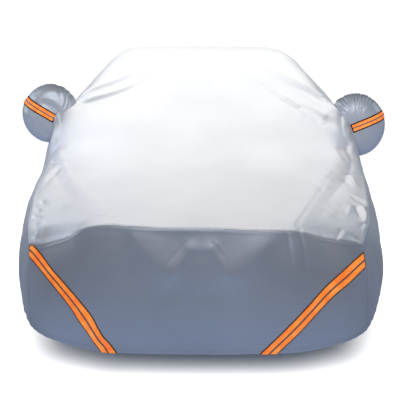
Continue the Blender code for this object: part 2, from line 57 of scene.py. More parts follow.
# One row for each section of the top panel, front to rear. A section runs level from its crown towards the
# rail, bends there over `bend`, and goes down to its side seam, bowed out by `bow`. `sweep` is how far its
# sides lie behind its middle, and `slip` how far it has slipped to the right.
TOP_COLUMNS = ("along", "sweep", "slip", "crown", "rail_x", "rail_z", "bend", "side_x", "side_z", "bow")
TOP_SECTIONS = (
    (0.06, 0.19, -0.030, 0.832, 0.470, 0.822, 0.10, 0.803, 0.716, 0.000),
    (0.20, 0.18, -0.022, 0.864, 0.490, 0.848, 0.08, 0.825, 0.772, 0.000),
    (0.45, 0.16, -0.010, 0.902, 0.550, 0.876, 0.08, 0.842, 0.830, 0.004),
    (0.75, 0.14, -0.004, 0.938, 0.640, 0.908, 0.08, 0.852, 0.866, 0.008),
    (1.05, 0.13, 0.000, 0.972, 0.720, 0.948, 0.07, 0.860, 0.886, 0.012),
    (1.25, 0.11, 0.000, 1.016, 0.745, 1.010, 0.06, 0.864, 0.892, 0.020),
    (1.50, 0.09, 0.003, 1.155, 0.700, 1.175, 0.06, 0.870, 0.895, 0.030),
    (1.75, 0.07, 0.006, 1.292, 0.640, 1.293, 0.07, 0.873, 0.896, 0.038),
    (2.00, 0.04, 0.008, 1.388, 0.575, 1.372, 0.09, 0.875, 0.898, 0.036),
    (2.35, 0.00, 0.008, 1.432, 0.520, 1.418, 0.11, 0.876, 0.900, 0.026),
    (2.90, 0.00, 0.006, 1.402, 0.505, 1.388, 0.11, 0.876, 0.900, 0.026),
    (3.40, -0.04, 0.000, 1.318, 0.510, 1.295, 0.11, 0.873, 0.900, 0.026),
    (3.80, -0.08, 0.000, 1.180, 0.550, 1.150, 0.10, 0.860, 0.896, 0.020),
    (4.08, -0.10, 0.000, 1.075, 0.600, 1.040, 0.10, 0.842, 0.888, 0.010),
    (4.42, -0.13, 0.000, 1.025, 0.600, 0.998, 0.10, 0.802, 0.868, 0.004),
    (4.58, -0.14, 0.000, 0.985, 0.580, 0.960, 0.10, 0.765, 0.850, 0.000),
)

# One row for each section of the skirt, anticlockwise from above: `turn` is 0 at the front left corner
# seam, 1 at the front right, 2 at the rear right and 3 at the rear left. Each section hangs from the top
# panel's edge, through its waist, to the elastic hem.
SKIRT_COLUMNS = ("turn", "waist_x", "waist_y", "waist_z", "hem_x", "hem_y", "hem_z")
SKIRT_SECTIONS = (
    (0.00, -0.835, 0.235, 0.480, -0.820, 0.215, 0.312),
    (0.10, -0.700, 0.105, 0.500, -0.665, 0.135, 0.257),
    (0.25, -0.430, 0.025, 0.510, -0.430, 0.070, 0.226),
    (0.50, -0.010, 0.000, 0.520, 0.000, 0.050, 0.222),
    (0.75, 0.410, 0.020, 0.510, 0.420, 0.065, 0.226),
    (0.90, 0.660, 0.095, 0.500, 0.650, 0.125, 0.254),
    (1.00, 0.795, 0.225, 0.490, 0.785, 0.205, 0.292),
    (1.06, 0.886, 0.460, 0.610, 0.868, 0.380, 0.425),
    (1.15, 0.908, 0.860, 0.660, 0.895, 0.840, 0.500),
    (1.28, 0.915, 1.400, 0.620, 0.868, 1.400, 0.350),
    (1.50, 0.918, 2.350, 0.600, 0.862, 2.350, 0.300),
    (1.72, 0.915, 3.300, 0.620, 0.868, 3.300, 0.350),
    (1.84, 0.900, 3.780, 0.660, 0.885, 3.780, 0.500),
    (1.94, 0.855, 4.220, 0.620, 0.835, 4.200, 0.400),
    (2.00, 0.785, 4.470, 0.580, 0.770, 4.440, 0.320),
    (2.10, 0.660, 4.600, 0.580, 0.640, 4.555, 0.280),
    (2.25, 0.410, 4.670, 0.590, 0.400, 4.615, 0.265),
    (2.50, 0.000, 4.690, 0.600, 0.000, 4.630, 0.260),
    (2.75, -0.410, 4.670, 0.590, -0.400, 4.615, 0.265),
    (2.90, -0.660, 4.600, 0.580, -0.640, 4.555, 0.282),
    (3.00, -0.785, 4.470, 0.580, -0.770, 4.440, 0.325),
    (3.06, -0.855, 4.220, 0.620, -0.835, 4.200, 0.410),
    (3.16, -0.900, 3.780, 0.660, -0.885, 3.780, 0.510),
    (3.28, -0.915, 3.300, 0.620, -0.868, 3.300, 0.360),
    (3.50, -0.918, 2.350, 0.600, -0.862, 2.350, 0.310),
    (3.72, -0.918, 1.400, 0.625, -0.870, 1.400, 0.370),
    (3.85, -0.915, 0.860, 0.690, -0.905, 0.840, 0.570),
    (3.94, -0.898, 0.460, 0.620, -0.882, 0.410, 0.420),
)

# ---- folds and creases

# In millimetres: how far each fold stands out at its first and its last point (in, where negative), its half
# width to the left and to the right of its line, and the line. A small half width on one side makes a crease
# that is crisp on that side. Lines are seen from above on the top panel (x, y), from the front on the front
# and rear panels and the pockets (x, z), and from the side on the side panels (y, z).
FOLD_COLUMNS = ("first", "last", "left", "right", "line")
TOP_FOLDS = (
    # the main folds, as in the solid
    (12, 3, 50, 20, ((-720, 1690), (-590, 1740), (-440, 1850), (-270, 1970))),
    (-10, -2, 22, 45, ((-700, 1620), (-510, 1700), (-400, 1760), (-190, 1940))),
    (12, 3, 20, 50, ((720, 1640), (600, 1740), (470, 1830), (320, 1950))),
    (-10, -2, 40, 22, ((700, 1500), (520, 1600), (370, 1770), (230, 1880))),
    (62, 40, 65, 65, ((-750, 1580), (-790, 1480))),
    (46, 30, 60, 60, ((740, 1580), (790, 1500))),
    (14, 6, 55, 60, ((820, 1420), (800, 1240), (760, 1060))),
    (6, 5, 18, 80, ((-770, 1350), (-680, 920), (-600, 690), (-470, 350), (-410, 240))),
    (11, 4, 50, 70, ((750, 1260), (650, 930), (600, 750), (500, 370), (440, 160))),
    (-0.8, -2.2, 14, 9, ((740, 1180), (658, 930), (608, 750), (508, 370), (450, 180))),
    (-8, -4, 50, 50, ((-820, 600), (-700, 500))),
    (12, 10, 110, 110, ((-550, 130), (-350, 80))),
    (-30, -26, 75, 75, ((-760, 220), (-660, 180))),
    (-12, -18, 130, 130, ((260, 80), (600, 140))),
    (8, 2, 60, 60, ((-500, 3550), (-300, 3800), (-200, 4000))),
    (8, 2, 60, 60, ((500, 3550), (320, 3820), (180, 4020))),
    # the fans of creases that run in from the pockets, over the slope up to the roof
    (6, 3, 14, 10, ((-660, 1720), (-530, 1790), (-360, 1910), (-250, 2000))),
    (-10, -4, 10, 12, ((-660, 1700), (-530, 1770), (-360, 1890), (-250, 1980))),
    (6, 4, 16, 10, ((-680, 1650), (-510, 1710), (-400, 1770), (-250, 1910))),
    (-12, -6, 10, 13, ((-680, 1630), (-510, 1690), (-400, 1750), (-250, 1890))),
    (3, 1, 14, 12, ((-400, 1810), (-320, 1860))),
    (-3, -1, 8, 10, ((-600, 1730), (-470, 1800), (-380, 1860))),
    (-4, -2, 18, 18, ((-690, 1620), (-630, 1630))),
    (-4, -2, 40, 60, ((-400, 1620), (-260, 1680))),
    (9, 5, 10, 14, ((660, 1700), (540, 1790), (440, 1870), (360, 1940))),
    (-14, -7, 12, 10, ((660, 1680), (540, 1770), (440, 1850), (360, 1920))),
    (3, 1, 10, 14, ((550, 1880), (490, 1920))),
    (-4, -2, 8, 8, ((620, 1760), (520, 1840), (460, 1900))),
    (6, 3, 10, 16, ((530, 1610), (430, 1710), (360, 1790), (290, 1870))),
    (-10, -5, 12, 10, ((530, 1590), (430, 1690), (360, 1770), (290, 1850))),
    (3, 1, 12, 18, ((290, 1860), (220, 1910))),
    (-6, -2, 12, 10, ((740, 1570), (690, 1650), (620, 1710))),
    (6, 2, 10, 10, ((740, 1600), (700, 1670), (640, 1740))),
    (-5, -2, 10, 12, ((700, 1550), (660, 1600), (600, 1660))),
    (5, 2, 12, 10, ((670, 1530), (620, 1580), (550, 1640))),
    (-4, -3, 14, 14, ((620, 1500), (650, 1460), (690, 1500))),
    (-3, -2, 14, 14, ((560, 1470), (600, 1430))),
    # the bands that run out to the pockets
    (42, 24, 34, 34, ((-690, 1625), (-715, 1590), (-745, 1560))),
    (20, 12, 30, 34, ((705, 1625), (735, 1585), (765, 1550))),
    (-14, -10, 40, 40, ((830, 1470), (840, 1400))),
    (-5, -3, 16, 16, ((700, 1700), (760, 1600))),
    (5, 3, 14, 14, ((710, 1670), (770, 1580))),
    (-9, -7, 14, 24, ((810, 1500), (793, 1420), (772, 1350))),
    (5, 4, 16, 16, ((810, 1460), (810, 1380))),
    (-4, -3, 10, 10, ((730, 1320), (760, 1220))),
    (-4, -4, 10, 10, ((745, 1370), (748, 1310))),
    # the left flank: its shoulder, the short crease, the highlight under it, the dimples and the valley
    (12, 10, 90, 30, ((-790, 1300), (-825, 1050), (-830, 860), (-840, 700), (-835, 530), (-830, 380))),
    (8, 6, 70, 30, ((-800, 255), (-700, 215), (-600, 170), (-430, 120))),
    (4, 3, 50, 40, ((-740, 330), (-620, 280))),
    (-20, -12, 50, 50, ((-830, 1520), (-850, 1380), (-860, 1250))),
    (-6, -5, 10, 14, ((-790, 1260), (-740, 1220))),
    (4, 3, 14, 18, ((-780, 1210), (-730, 1170))),
    (8, 5, 20, 24, ((-775, 1140), (-800, 1050), (-815, 990))),
    (-4, -3, 12, 16, ((-750, 1100), (-785, 980), (-800, 860))),
    (-5, -5, 10, 12, ((-800, 640), (-790, 600))),
    (-5, -5, 10, 12, ((-810, 530), (-800, 500))),
    (-7, -6, 10, 12, ((-815, 450), (-790, 420))),
    (5, 4, 12, 16, ((-775, 360), (-790, 290))),
    (-7, -5, 12, 12, ((-800, 360), (-815, 290))),
    (-3, -3, 10, 10, ((-500, 310), (-430, 280))),
    (3, 3, 10, 10, ((-480, 270), (-420, 210))),
    (-3, -3, 8, 8, ((-440, 200), (-400, 140))),
    # the right flank: the pucker, the teardrop, and the creases and dark places round them
    (-8, -6, 10, 10, ((750, 1040), (790, 1070), (830, 1100))),
    (6, 4, 14, 22, ((780, 1020), (790, 900))),
    (-4, -3, 12, 12, ((740, 960), (760, 840))),
    (-6, -5, 10, 10, ((760, 680), (800, 640), (830, 620))),
    (4, 4, 10, 12, ((770, 720), (830, 680))),
    (10, 8, 12, 14, ((800, 570), (810, 490), (800, 430))),
    (-8, -6, 10, 10, ((765, 550), (775, 470))),
    (-5, -4, 10, 10, ((790, 400), (770, 360))),
    (3, 3, 12, 12, ((740, 560), (720, 460))),
    (-6, -4, 10, 10, ((810, 380), (800, 310))),
    # small puckers along the front edge
    (-3, -3, 8, 12, ((390, 140), (410, 110))),
    (-3, -3, 8, 10, ((470, 170), (470, 130))),
    (-4, -3, 10, 10, ((560, 220), (580, 190))),
    (-3, -3, 8, 12, ((670, 270), (650, 210))),
    (2, 2, 14, 12, ((690, 270), (670, 220))),
    (-4, -4, 10, 12, ((710, 270), (760, 260))),
)
FRONT_FOLDS = (
    # the main folds, as in the solid
    (14, 6, 90, 40, ((-330, 820), (-190, 650))),
    (6, 14, 90, 40, ((150, 610), (330, 790))),
    (11, 10, 34, 50, ((-60, 740), (-140, 640))),
    (10, 11, 34, 50, ((120, 630), (40, 740))),
    (-6, -6, 60, 60, ((-150, 560), (60, 560))),
    # the raised tent in the middle, and the soft V round it
    (14, 10, 90, 70, ((-310, 790), (-190, 640))),
    (10, 14, 90, 70, ((170, 630), (310, 790))),
    (15, 15, 105, 90, ((-170, 640), (150, 640))),
    (13, 13, 60, 18, ((-34, 736), (20, 733))),
    (3, 6, 10, 20, ((-62, 734), (-123, 640), (-156, 580))),
    (4, 4, 10, 18, ((150, 540), (108, 640), (47, 742))),
    (-4, -2, 8, 8, ((-78, 770), (-190, 640))),
    (-5, -2, 8, 8, ((55, 760), (105, 700))),
    (4, 2, 8, 8, ((70, 765), (115, 700))),
    (2, 1, 40, 14, ((-160, 555), (60, 555))),
    # faint pulls beside the strips and above the hem
    (3, 1, 20, 30, ((800, 600), (680, 470), (580, 340))),
    (-3, -1, 25, 25, ((830, 550), (740, 420))),
    (3, 1, 30, 30, ((-800, 560), (-720, 400))),
    (-3, -2, 40, 40, ((-550, 300), (-300, 270), (100, 300), (400, 270))),
)
SIDE_FOLDS = (
    (10, 4, 60, 60, ((460, 780), (420, 500))),
    (-8, -6, 50, 50, ((620, 840), (640, 620))),
    (8, 10, 70, 70, ((1220, 880), (1300, 420))),
    (-6, -10, 70, 70, ((1550, 800), (1580, 400))),
    (6, 10, 80, 80, ((2050, 840), (2000, 400))),
    (-6, -10, 70, 70, ((2600, 800), (2620, 360))),
    (6, 10, 80, 80, ((3100, 860), (3060, 420))),
    (-6, -8, 60, 60, ((4050, 840), (4120, 500))),
    # upright streaks over the hem's first arch, and slack creases behind it
    (-6, -3, 18, 30, ((360, 720), (340, 440))),
    (6, 3, 20, 20, ((520, 800), (500, 520))),
    (-6, -4, 16, 24, ((740, 840), (780, 580))),
    (5, 3, 20, 30, ((900, 820), (950, 600))),
    (-5, -5, 20, 40, ((1400, 840), (1460, 500))),
    (5, 6, 16, 40, ((1740, 860), (1800, 460))),
    (-4, -6, 20, 30, ((2240, 800), (2280, 420))),
    (5, 6, 40, 18, ((2440, 860), (2400, 440))),
    (-4, -6, 30, 20, ((2860, 820), (2840, 460))),
    (5, 4, 20, 30, ((3420, 840), (3460, 520))),
    (-4, -4, 20, 24, ((3700, 820), (3720, 600))),
)
REAR_FOLDS = (
    (8, 4, 60, 60, ((-450, 840), (-360, 440))),
    (8, 4, 60, 60, ((420, 840), (380, 440))),
    (-5, -3, 30, 20, ((-200, 900), (-140, 500))),
    (5, 2, 20, 30, ((140, 920), (100, 600))),
    (-6, -3, 20, 30, ((600, 820), (620, 500))),
)

# Slight creases strewn over stretches (x, y) of the top panel: on its roof and rear, and finer ones on both
# flanks and by the right pocket, where the cloth is slack. Slants are in radians.
STREWN_COLUMNS = ("x", "y", "count", "runs", "widths", "stands", "slants", "seed")
STREWN_CREASES = (
    ((-620, 500), (2200, 4300), 60, (60, 220), (14, 34), (2, 4), (0.2, 2.9), 7),
    ((580, 800), (300, 1200), 50, (30, 100), (12, 18), (0.7, 1.6), (0.3, 2.6), 8),
    ((-820, -600), (400, 1300), 40, (30, 90), (12, 18), (0.5, 1.2), (0, 3), 9),
    ((420, 680), (1450, 1720), 24, (30, 90), (8, 12), (1, 3), (2.0, 2.8), 10),
)

# The mirror pockets: flattened round bags, each with its middle and half sizes.
POCKET_COLUMNS = ("x", "y", "z", "wide", "deep", "high")
POCKETS = {
    "left": (-0.835, 1.620, 1.160, 0.153, 0.080, 0.160),
    "right": (0.850, 1.620, 1.095, 0.160, 0.082, 0.172),
}
POCKET_SQUARE = 0.64  # 1 would make the pockets ellipsoids, and less makes their rims blunter
POCKET_ROOT = 0.030  # how far a pocket's mouth reaches in past the panel it is sewn to, taken without folds
POCKET_RIM, POCKET_RIM_REACH = 0.003, 0.045  # how far its rim's seam stands out, and over which tilt
POCKET_HOLE = 0.001  # how much smaller than the pocket its hole in the top panel is
POCKET_FOLDS = {
    "left": (
        # the crescent that is pressed out near its top, and the hollow between it and the strip
        (6, 4, 14, 20, ((-900, 1252), (-843, 1250), (-800, 1236), (-770, 1190))),
        (-9, -5, 22, 18, ((-862, 1225), (-816, 1206), (-782, 1180))),
        (5, 3, 22, 22, ((-870, 1280), (-820, 1290), (-780, 1280))),
        (-5, -3, 20, 20, ((-960, 1250), (-910, 1275), (-880, 1300))),
        (5, 3, 12, 12, ((-970, 1170), (-930, 1150))),
        # upright gathers where it is sewn in
        (-6, -5, 6, 8, ((-748, 1285), (-741, 1245), (-752, 1205))),
        (5, 4, 6, 6, ((-762, 1280), (-754, 1240), (-765, 1205))),
        (-6, -5, 7, 7, ((-726, 1265), (-722, 1235), (-732, 1205))),
        (-4, -2, 8, 8, ((-790, 1310), (-776, 1265))),
        (-3, -2, 10, 10, ((-900, 1100), (-840, 1050))),
    ),
    "right": (
        (-5, -3, 10, 10, ((735, 1210), (748, 1190))),
        (5, 3, 12, 12, ((760, 1225), (800, 1180))),
        (-4, -3, 20, 20, ((900, 1050), (950, 1020))),
        (3, 2, 30, 30, ((840, 1030), (880, 970))),
    ),
}
# The right pocket's gathers run out from a middle over its upper half, in millimetres. Bearings are in
# degrees to the right of straight up.
GATHERS = {
    "middle": (850, 1161),
    "bearings": (-80, 84),
    "count": 30,
    "from": (20, 50),
    "to": (90, 120),
    "stands": (1.4, 3.4),
    "widths": (4.0, 5.5),
    "seed": 3,
}

# High-visibility strips, seen from the front: points (x, z) along the middle of each, and its width there
# over the black edging. Front strips run up from the hem to the corner seam, and end there.
STRIP_COLUMNS = ("x", "z", "width")
FRONT_STRIPS = {
    "left": (
        (-0.386, 0.150, 0.070),
        (-0.440, 0.216, 0.071),
        (-0.459, 0.250, 0.064),
        (-0.492, 0.293, 0.060),
        (-0.516, 0.335, 0.062),
        (-0.549, 0.392, 0.071),
        (-0.605, 0.470, 0.061),
        (-0.669, 0.541, 0.055),
        (-0.730, 0.599, 0.052),
        (-0.804, 0.668, 0.057),
        (-0.895, 0.749, 0.052),
    ),
    "right": (
        (0.245, 0.150, 0.062),
        (0.321, 0.228, 0.062),
        (0.443, 0.358, 0.064),
        (0.520, 0.442, 0.062),
        (0.602, 0.524, 0.065),
        (0.694, 0.587, 0.069),
        (0.786, 0.644, 0.068),
        (0.880, 0.702, 0.068),
    ),
}
POCKET_STRIPS = {
    "left": ((-1.050, 1.284, 0.050), (-0.806, 1.140, 0.050)),
    "right": ((0.823, 1.085, 0.050), (1.070, 1.184, 0.050)),
}
EDGING = {"front": 0.0045, "mirror": 0.0070}  # how much of the black edging shows beside the tape
REFLECTOR = 0.008
LAYER_COLUMNS = ("layer", "lift", "thick", "finish")
LAYERS = (
    ("edging", 0.0004, 0.0014, "black_edging"),
    ("tape", 0.0018, 0.0012, "orange_tape"),
    ("reflector", 0.0030, 0.0010, "grey_reflector"),
)

# How finely each panel is cut into facets: stretches of it, each with its number of facets.
ALONG = ((0.06, 0.09, 3), (0.09, 1.30, 114), (1.30, 2.10, 106), (2.10, 4.55, 29), (4.55, 4.58, 2))
HALF_ACROSS = ((0.00, 0.36, 14), (0.36, 0.985, 76), (0.985, 1.00, 3))
FRONT_MIDDLE = (0.30, 0.70, 161)  # the front panel is cut finer round its tent
SIDE_ALONG = 330
DOWN = {"front": 96, "side": 60, "rear": 44}
POCKET_ROUND = 320
POCKET_DEEP = 44
POCKET_STRETCH = (1.3, 2.1)  # the top panel beside the pockets, along the cover

# The hem and the seams.
HEM_DEEP = 0.022  # the turned hem that holds the elastic
HEM_PROUD = 0.0022
HEM_EDGE = 0.004  # over which the hem's upper edge drops to the cloth
HEM_GATHER = {"front": 0.0012, "side": 0.0040, "rear": 0.0040}
HEM_GATHER_REACH = 0.050
HEM_GATHER_PITCH = 0.046
HEM_PITCH_RUN, HEM_DEPTH_RUN = 0.41, 0.27  # over which the gathers' pitch and depth come and go
SEAM_DIP, SEAM_DIP_REACH = 0.0016, 0.005
FELL, FELL_INSET, FELL_REACH = 0.0012, 0.013, 0.007  # the turned edges felled beside a seam
SEAM_TAUT = 0.05  # the cloth is drawn smooth this far from a seam
CORNER_TAUT = 0.04  # the same beside a corner seam, as a share of the panel's run
STITCH_INSET = 0.009  # how far a line of stitches lies from its seam
HEM_STITCH_INSET = HEM_DEEP - 0.006
TAPE_STITCH_INSET = 0.003
POCKET_STITCH_TILT = 0.40 * math.pi  # half of pi would be the rim between the pocket's rounds
POCKET_STITCH_ROOT = 0.045  # how far out from the plane of the pocket's mouth its stitches start
STITCH_MARGIN = 0.012  # how far a line of stitches stops short of the seams at its ends
STITCH_LIFT = 0.0003  # how far a line of stitches lies above the cloth
COVER_STITCHES = {"Pitch": 0.008, "Stitch Length": 0.0052, "Thread Radius": 0.0005}
STRIP_STITCHES = {"Pitch": 0.005, "Stitch Length": 0.0035, "Thread Radius": 0.0004}

# The slight unevenness of hanging cloth: broad swells and finer ones, each with its size, height and seed.
RUMPLES = {
    "top": ((0.16, 0.0016, 1), (0.05, 0.0005, 2)),
    "skirt": ((0.20, 0.0030, 3), (0.06, 0.0006, 4)),
    "pocket": ((0.07, 0.0012, 5),),
}


# ---- the cover's surface


def stretches(rows):
    """Stations along a list of stretches, each cut into its own number of equal steps."""
    return np.unique(np.concatenate([np.linspace(start, end, n + 1) for start, end, n in rows]).round(7))


def curve(knots, values, at):
    """A smooth curve through the knots that never swings past them."""
    step = np.diff(knots)
    slope = np.diff(values) / step
    both = slope[:-1] + slope[1:]
    same = slope[:-1] * slope[1:] > 0
    tangent = np.concatenate([slope[:1], np.zeros(len(step) - 1), slope[-1:]])
    tangent[1:-1][same] = 2 * (slope[:-1] * slope[1:])[same] / both[same]
    place = np.clip(np.searchsorted(knots, at) - 1, 0, len(step) - 1)
    gap = step[place]
    t = (at - knots[place]) / gap
    return (
        (1 + 2 * t) * (1 - t) ** 2 * values[place]
        + t * (1 - t) ** 2 * gap * tangent[place]
        + t**2 * (3 - 2 * t) * values[place + 1]
        - t**2 * (1 - t) * gap * tangent[place + 1]
    )


def read_table(columns, rows, at):
    """Each column of a table, as a smooth curve read at the values `at` of its first column."""
    data = np.array(rows)
    at = np.asarray(at, float)
    return {name: curve(data[:, 0], data[:, k], at) for k, name in enumerate(columns) if k}


def bezier(start, control, end, t):
    """Points along an arc that bends towards its control."""
    return (1 - t) ** 2 * start + 2 * t * (1 - t) * control + t**2 * end


def half_section(crown, rail, side, bend, bow, shares):
    """Points (x, z) of a section from its crown to its side seam, at equal shares of its length."""
    control = np.array([rail[0] / 2, crown[1]])
    before = rail + bend * (control - rail) / np.linalg.norm(control - rail)
    after = rail + bend * (side - rail) / np.linalg.norm(side - rail)
    run = side - after
    outward = np.array([-run[1], run[0]]) / np.linalg.norm(run)
    belly = (after + side) / 2 + 2 * bow * outward
    t = np.linspace(0, 1, 49)[:, None]
    arcs = ((crown, control, before), (before, rail, after), (after, belly, side))
    path = np.vstack([bezier(*arc, t) for arc in arcs])
    length = np.concatenate([[0], np.cumsum(np.linalg.norm(np.diff(path, axis=0), axis=1))])
    return np.stack([np.interp(shares * length[-1], length, path[:, k]) for k in (0, 1)], axis=-1)


def top_surface(stations, shares):
    """The top panel's outer surface as a grid of points: a row for each station, left to right."""
    table = read_table(TOP_COLUMNS, TOP_SECTIONS, stations)
    rows = []
    for k, along in enumerate(stations):
        at = {name: values[k] for name, values in table.items()}
        crown = np.array([0, at["crown"]])
        rail = np.array([at["rail_x"], at["rail_z"]])
        side = np.array([at["side_x"], at["side_z"]])
        points = half_section(crown, rail, side, at["bend"], at["bow"], np.abs(shares))
        x = np.sign(shares) * points[:, 0]
        y = along + at["sweep"] * (x / at["side_x"]) ** 2
        rows.append(np.stack([x + at["slip"], y, points[:, 1]], axis=-1))
    return np.array(rows)


def skirt_surface(turns, edge, rise):
    """The skirt's outer surface as a grid of points: rows run up from the hem, columns go round."""
    before = (SKIRT_SECTIONS[-1][0] - 4, *SKIRT_SECTIONS[-1][1:])
    after = [(turn + 4, *places) for turn, *places in SKIRT_SECTIONS[:2]]
    table = read_table(SKIRT_COLUMNS, [before, *SKIRT_SECTIONS, *after], turns)
    waist = np.stack([table[f"waist_{axis}"] for axis in "xyz"], axis=-1)
    hem = np.stack([table[f"hem_{axis}"] for axis in "xyz"], axis=-1)
    upper = np.linalg.norm(edge - waist, axis=1)
    lower = np.linalg.norm(waist - hem, axis=1)
    middle = (lower / (lower + upper))[:, None]
    grid = []
    for t in rise:
        grid.append(
            hem * (t - middle) * (t - 1) / middle
            + waist * t * (t - 1) / (middle * (middle - 1))
            + edge * t * (t - middle) / (1 - middle)
        )
    return np.array(grid)


def grid_normals(grid):
    """The outward normal at each point of a grid whose rows run up and columns run left to right."""
    normals = np.cross(np.gradient(grid, axis=1), np.gradient(grid, axis=0))
    return normals / np.linalg.norm(normals, axis=-1, keepdims=True)


def rounded(line):
    """The line with its corners rounded off, so that a fold bends along it."""
    for _ in range(2):
        if len(line) < 3:
            break
        near = 0.75 * line[:-1] + 0.25 * line[1:]
        far = 0.25 * line[:-1] + 0.75 * line[1:]
        cut = np.stack([near, far], axis=1).reshape(-1, line.shape[1])
        line = np.vstack([line[:1], cut[1:-1], line[-1:]])
    return line


def falloff(distance, reach):
    """1 where the distance is none, and soon nothing beyond the reach."""
    return np.exp(-((distance / reach) ** 2))


def fold_height(seen, folds):
    """How far the folds lift each point, given where it is seen in the folds' own plane."""
    height = np.zeros(seen.shape[:-1])
    for row in folds:
        fold = {name: np.array(value) / 1000 for name, value in zip(FOLD_COLUMNS, row)}
        line = rounded(fold["line"])
        reach = 3 * max(fold["left"], fold["right"])
        near = np.all((seen > line.min(axis=0) - reach) & (seen < line.max(axis=0) + reach), axis=-1)
        points = seen[near]
        lengths = np.linalg.norm(np.diff(line, axis=0), axis=1)
        nearest = np.full(len(points), np.inf)
        share = np.zeros(len(points))
        side = np.zeros(len(points))
        done = 0
        for start, end, length in zip(line[:-1], line[1:], lengths):
            way = (end - start) / length
            offset = points - start
            t = np.clip(offset @ way / length, 0, 1)
            apart = offset - t[:, None] * (end - start)
            distance = np.linalg.norm(apart, axis=-1)
            closer = distance < nearest
            share = np.where(closer, (done + t * length) / lengths.sum(), share)
            side = np.where(closer, apart @ np.array([-way[1], way[0]]), side)
            nearest = np.where(closer, distance, nearest)
            done += length
        lean = np.clip(side / np.maximum(nearest, 1e-9), -1, 1)
        width = fold["right"] + (fold["left"] - fold["right"]) * (1 + lean) / 2
        stands = fold["first"] + (fold["last"] - fold["first"]) * share
        height[near] += stands * falloff(nearest, width)
    return height


def strewn_folds():
    """The strewn creases as rows of a fold table."""
    rows = []
    for stretch in STREWN_CREASES:
        crease = dict(zip(STREWN_COLUMNS, stretch))
        chance = np.random.default_rng(crease["seed"])
        for _ in range(crease["count"]):
            start = np.array([chance.uniform(*crease["x"]), chance.uniform(*crease["y"])])
            slant = chance.uniform(*crease["slants"])
            run = chance.uniform(*crease["runs"]) * np.array([math.cos(slant), math.sin(slant)])
            stands = chance.uniform(*crease["stands"]) * chance.choice((-1, 1))
            width = chance.uniform(*crease["widths"])
            rows.append((stands, stands / 3, width, 1.6 * width, (start, start + run)))
    return rows


def ease(t):
    """0 to 1 with a smooth start and end."""
    t = np.clip(t, 0, 1)
    return t * t * (3 - 2 * t)


def rumple(points, kind):
    """The unevenness of that kind of cloth: smooth noise at each point."""
    flat = points.reshape(-1, 3).tolist()
    height = np.zeros(len(flat))
    for size, stands, seed in RUMPLES[kind]:
        shift = Vector((seed * 7.3, seed * 3.1, seed * 5.7))
        height += stands * np.array([noise.noise(Vector(point) / size + shift) for point in flat])
    return height.reshape(points.shape[:-1])


def edge_distances(grid):
    """How far each point lies along the cloth from the grid's bottom, top, left and right edges."""
    up = np.linalg.norm(np.diff(grid, axis=0), axis=-1)
    across = np.linalg.norm(np.diff(grid, axis=1), axis=-1)
    bottom = np.vstack([np.zeros((1, grid.shape[1])), np.cumsum(up, axis=0)])
    left = np.hstack([np.zeros((grid.shape[0], 1)), np.cumsum(across, axis=1)])
    return {"bottom": bottom, "top": bottom[-1:] - bottom, "left": left, "right": left[:, -1:] - left}


def seam_height(distance):
    """The cloth dips into a seam, and rises over the turned edges that are felled beside it."""
    return FELL * falloff(distance - FELL_INSET, FELL_REACH) - SEAM_DIP * falloff(distance, SEAM_DIP_REACH)


def hem_height(away, around, gather):
    """The turned hem stands proud of the cloth above it, which its elastic draws into small gathers."""
    proud = HEM_PROUD * (1 - ease((away - HEM_DEEP) / HEM_EDGE + 0.75))
    turn = 2 * math.pi * around
    phase = turn / HEM_GATHER_PITCH + 1.9 * np.sin(turn / HEM_PITCH_RUN)
    uneven = 0.65 + 0.35 * np.sin(turn / HEM_DEPTH_RUN + 1.0)
    return proud + gather * uneven * np.sin(phase) * falloff(away, HEM_GATHER_REACH)


def lifted(grid, height):
    """The grid with each point moved out along its normal."""
    return grid + height[..., None] * grid_normals(grid)


def slack(away, edge):
    """0 beside a panel's side seams and the seam at that edge, and 1 away from them."""
    return ease(np.minimum(away["left"], away["right"]) / SEAM_TAUT) * ease(away[edge] / SEAM_TAUT)


def top_grid():
    """The top panel's outer surface, with its folds, creases and seams."""
    half = stretches(HALF_ACROSS)
    shares = np.concatenate([-half[:0:-1], half])
    stations = stretches(ALONG)
    plain = top_surface(stations, shares)
    folded = lifted(plain, fold_height(plain[..., :2], [*TOP_FOLDS, *strewn_folds()]))
    away = edge_distances(folded)
    seams = sum(seam_height(away[side]) for side in away)
    return stations, (shares + 1) / 2, lifted(folded, slack(away, "bottom") * rumple(folded, "top") + seams)


def skirt_grid(panel, turns, edge):
    """A lower panel's outer surface, hanging from the top panel's edge."""
    kind = panel.split("_")[0]
    rise = np.linspace(0, 1, DOWN[kind] + 1)
    plain = skirt_surface(turns, edge, rise)
    seen, folds = {"front": (0, FRONT_FOLDS), "rear": (0, REAR_FOLDS), "side": (1, SIDE_FOLDS)}[kind]
    fade = np.sqrt(1 - rise)[:, None]
    corner = np.clip(np.abs((turns + 0.5) % 1 - 0.5) / CORNER_TAUT, 0, 1)
    folded = lifted(plain, fade * corner * fold_height(plain[..., (seen, 2)], folds))
    away = edge_distances(folded)
    seams = sum(seam_height(away[side]) for side in ("top", "left", "right"))
    hem = hem_height(away["bottom"], away["left"], HEM_GATHER[kind])
    return lifted(folded, slack(away, "top") * rumple(folded, "skirt") + seams + corner * hem)


def along_edge(edge, stations, wanted):
    """The edge's points at the stations wanted, from those that it has."""
    return np.stack([np.interp(wanted, stations, edge[:, axis]) for axis in range(3)], axis=-1)


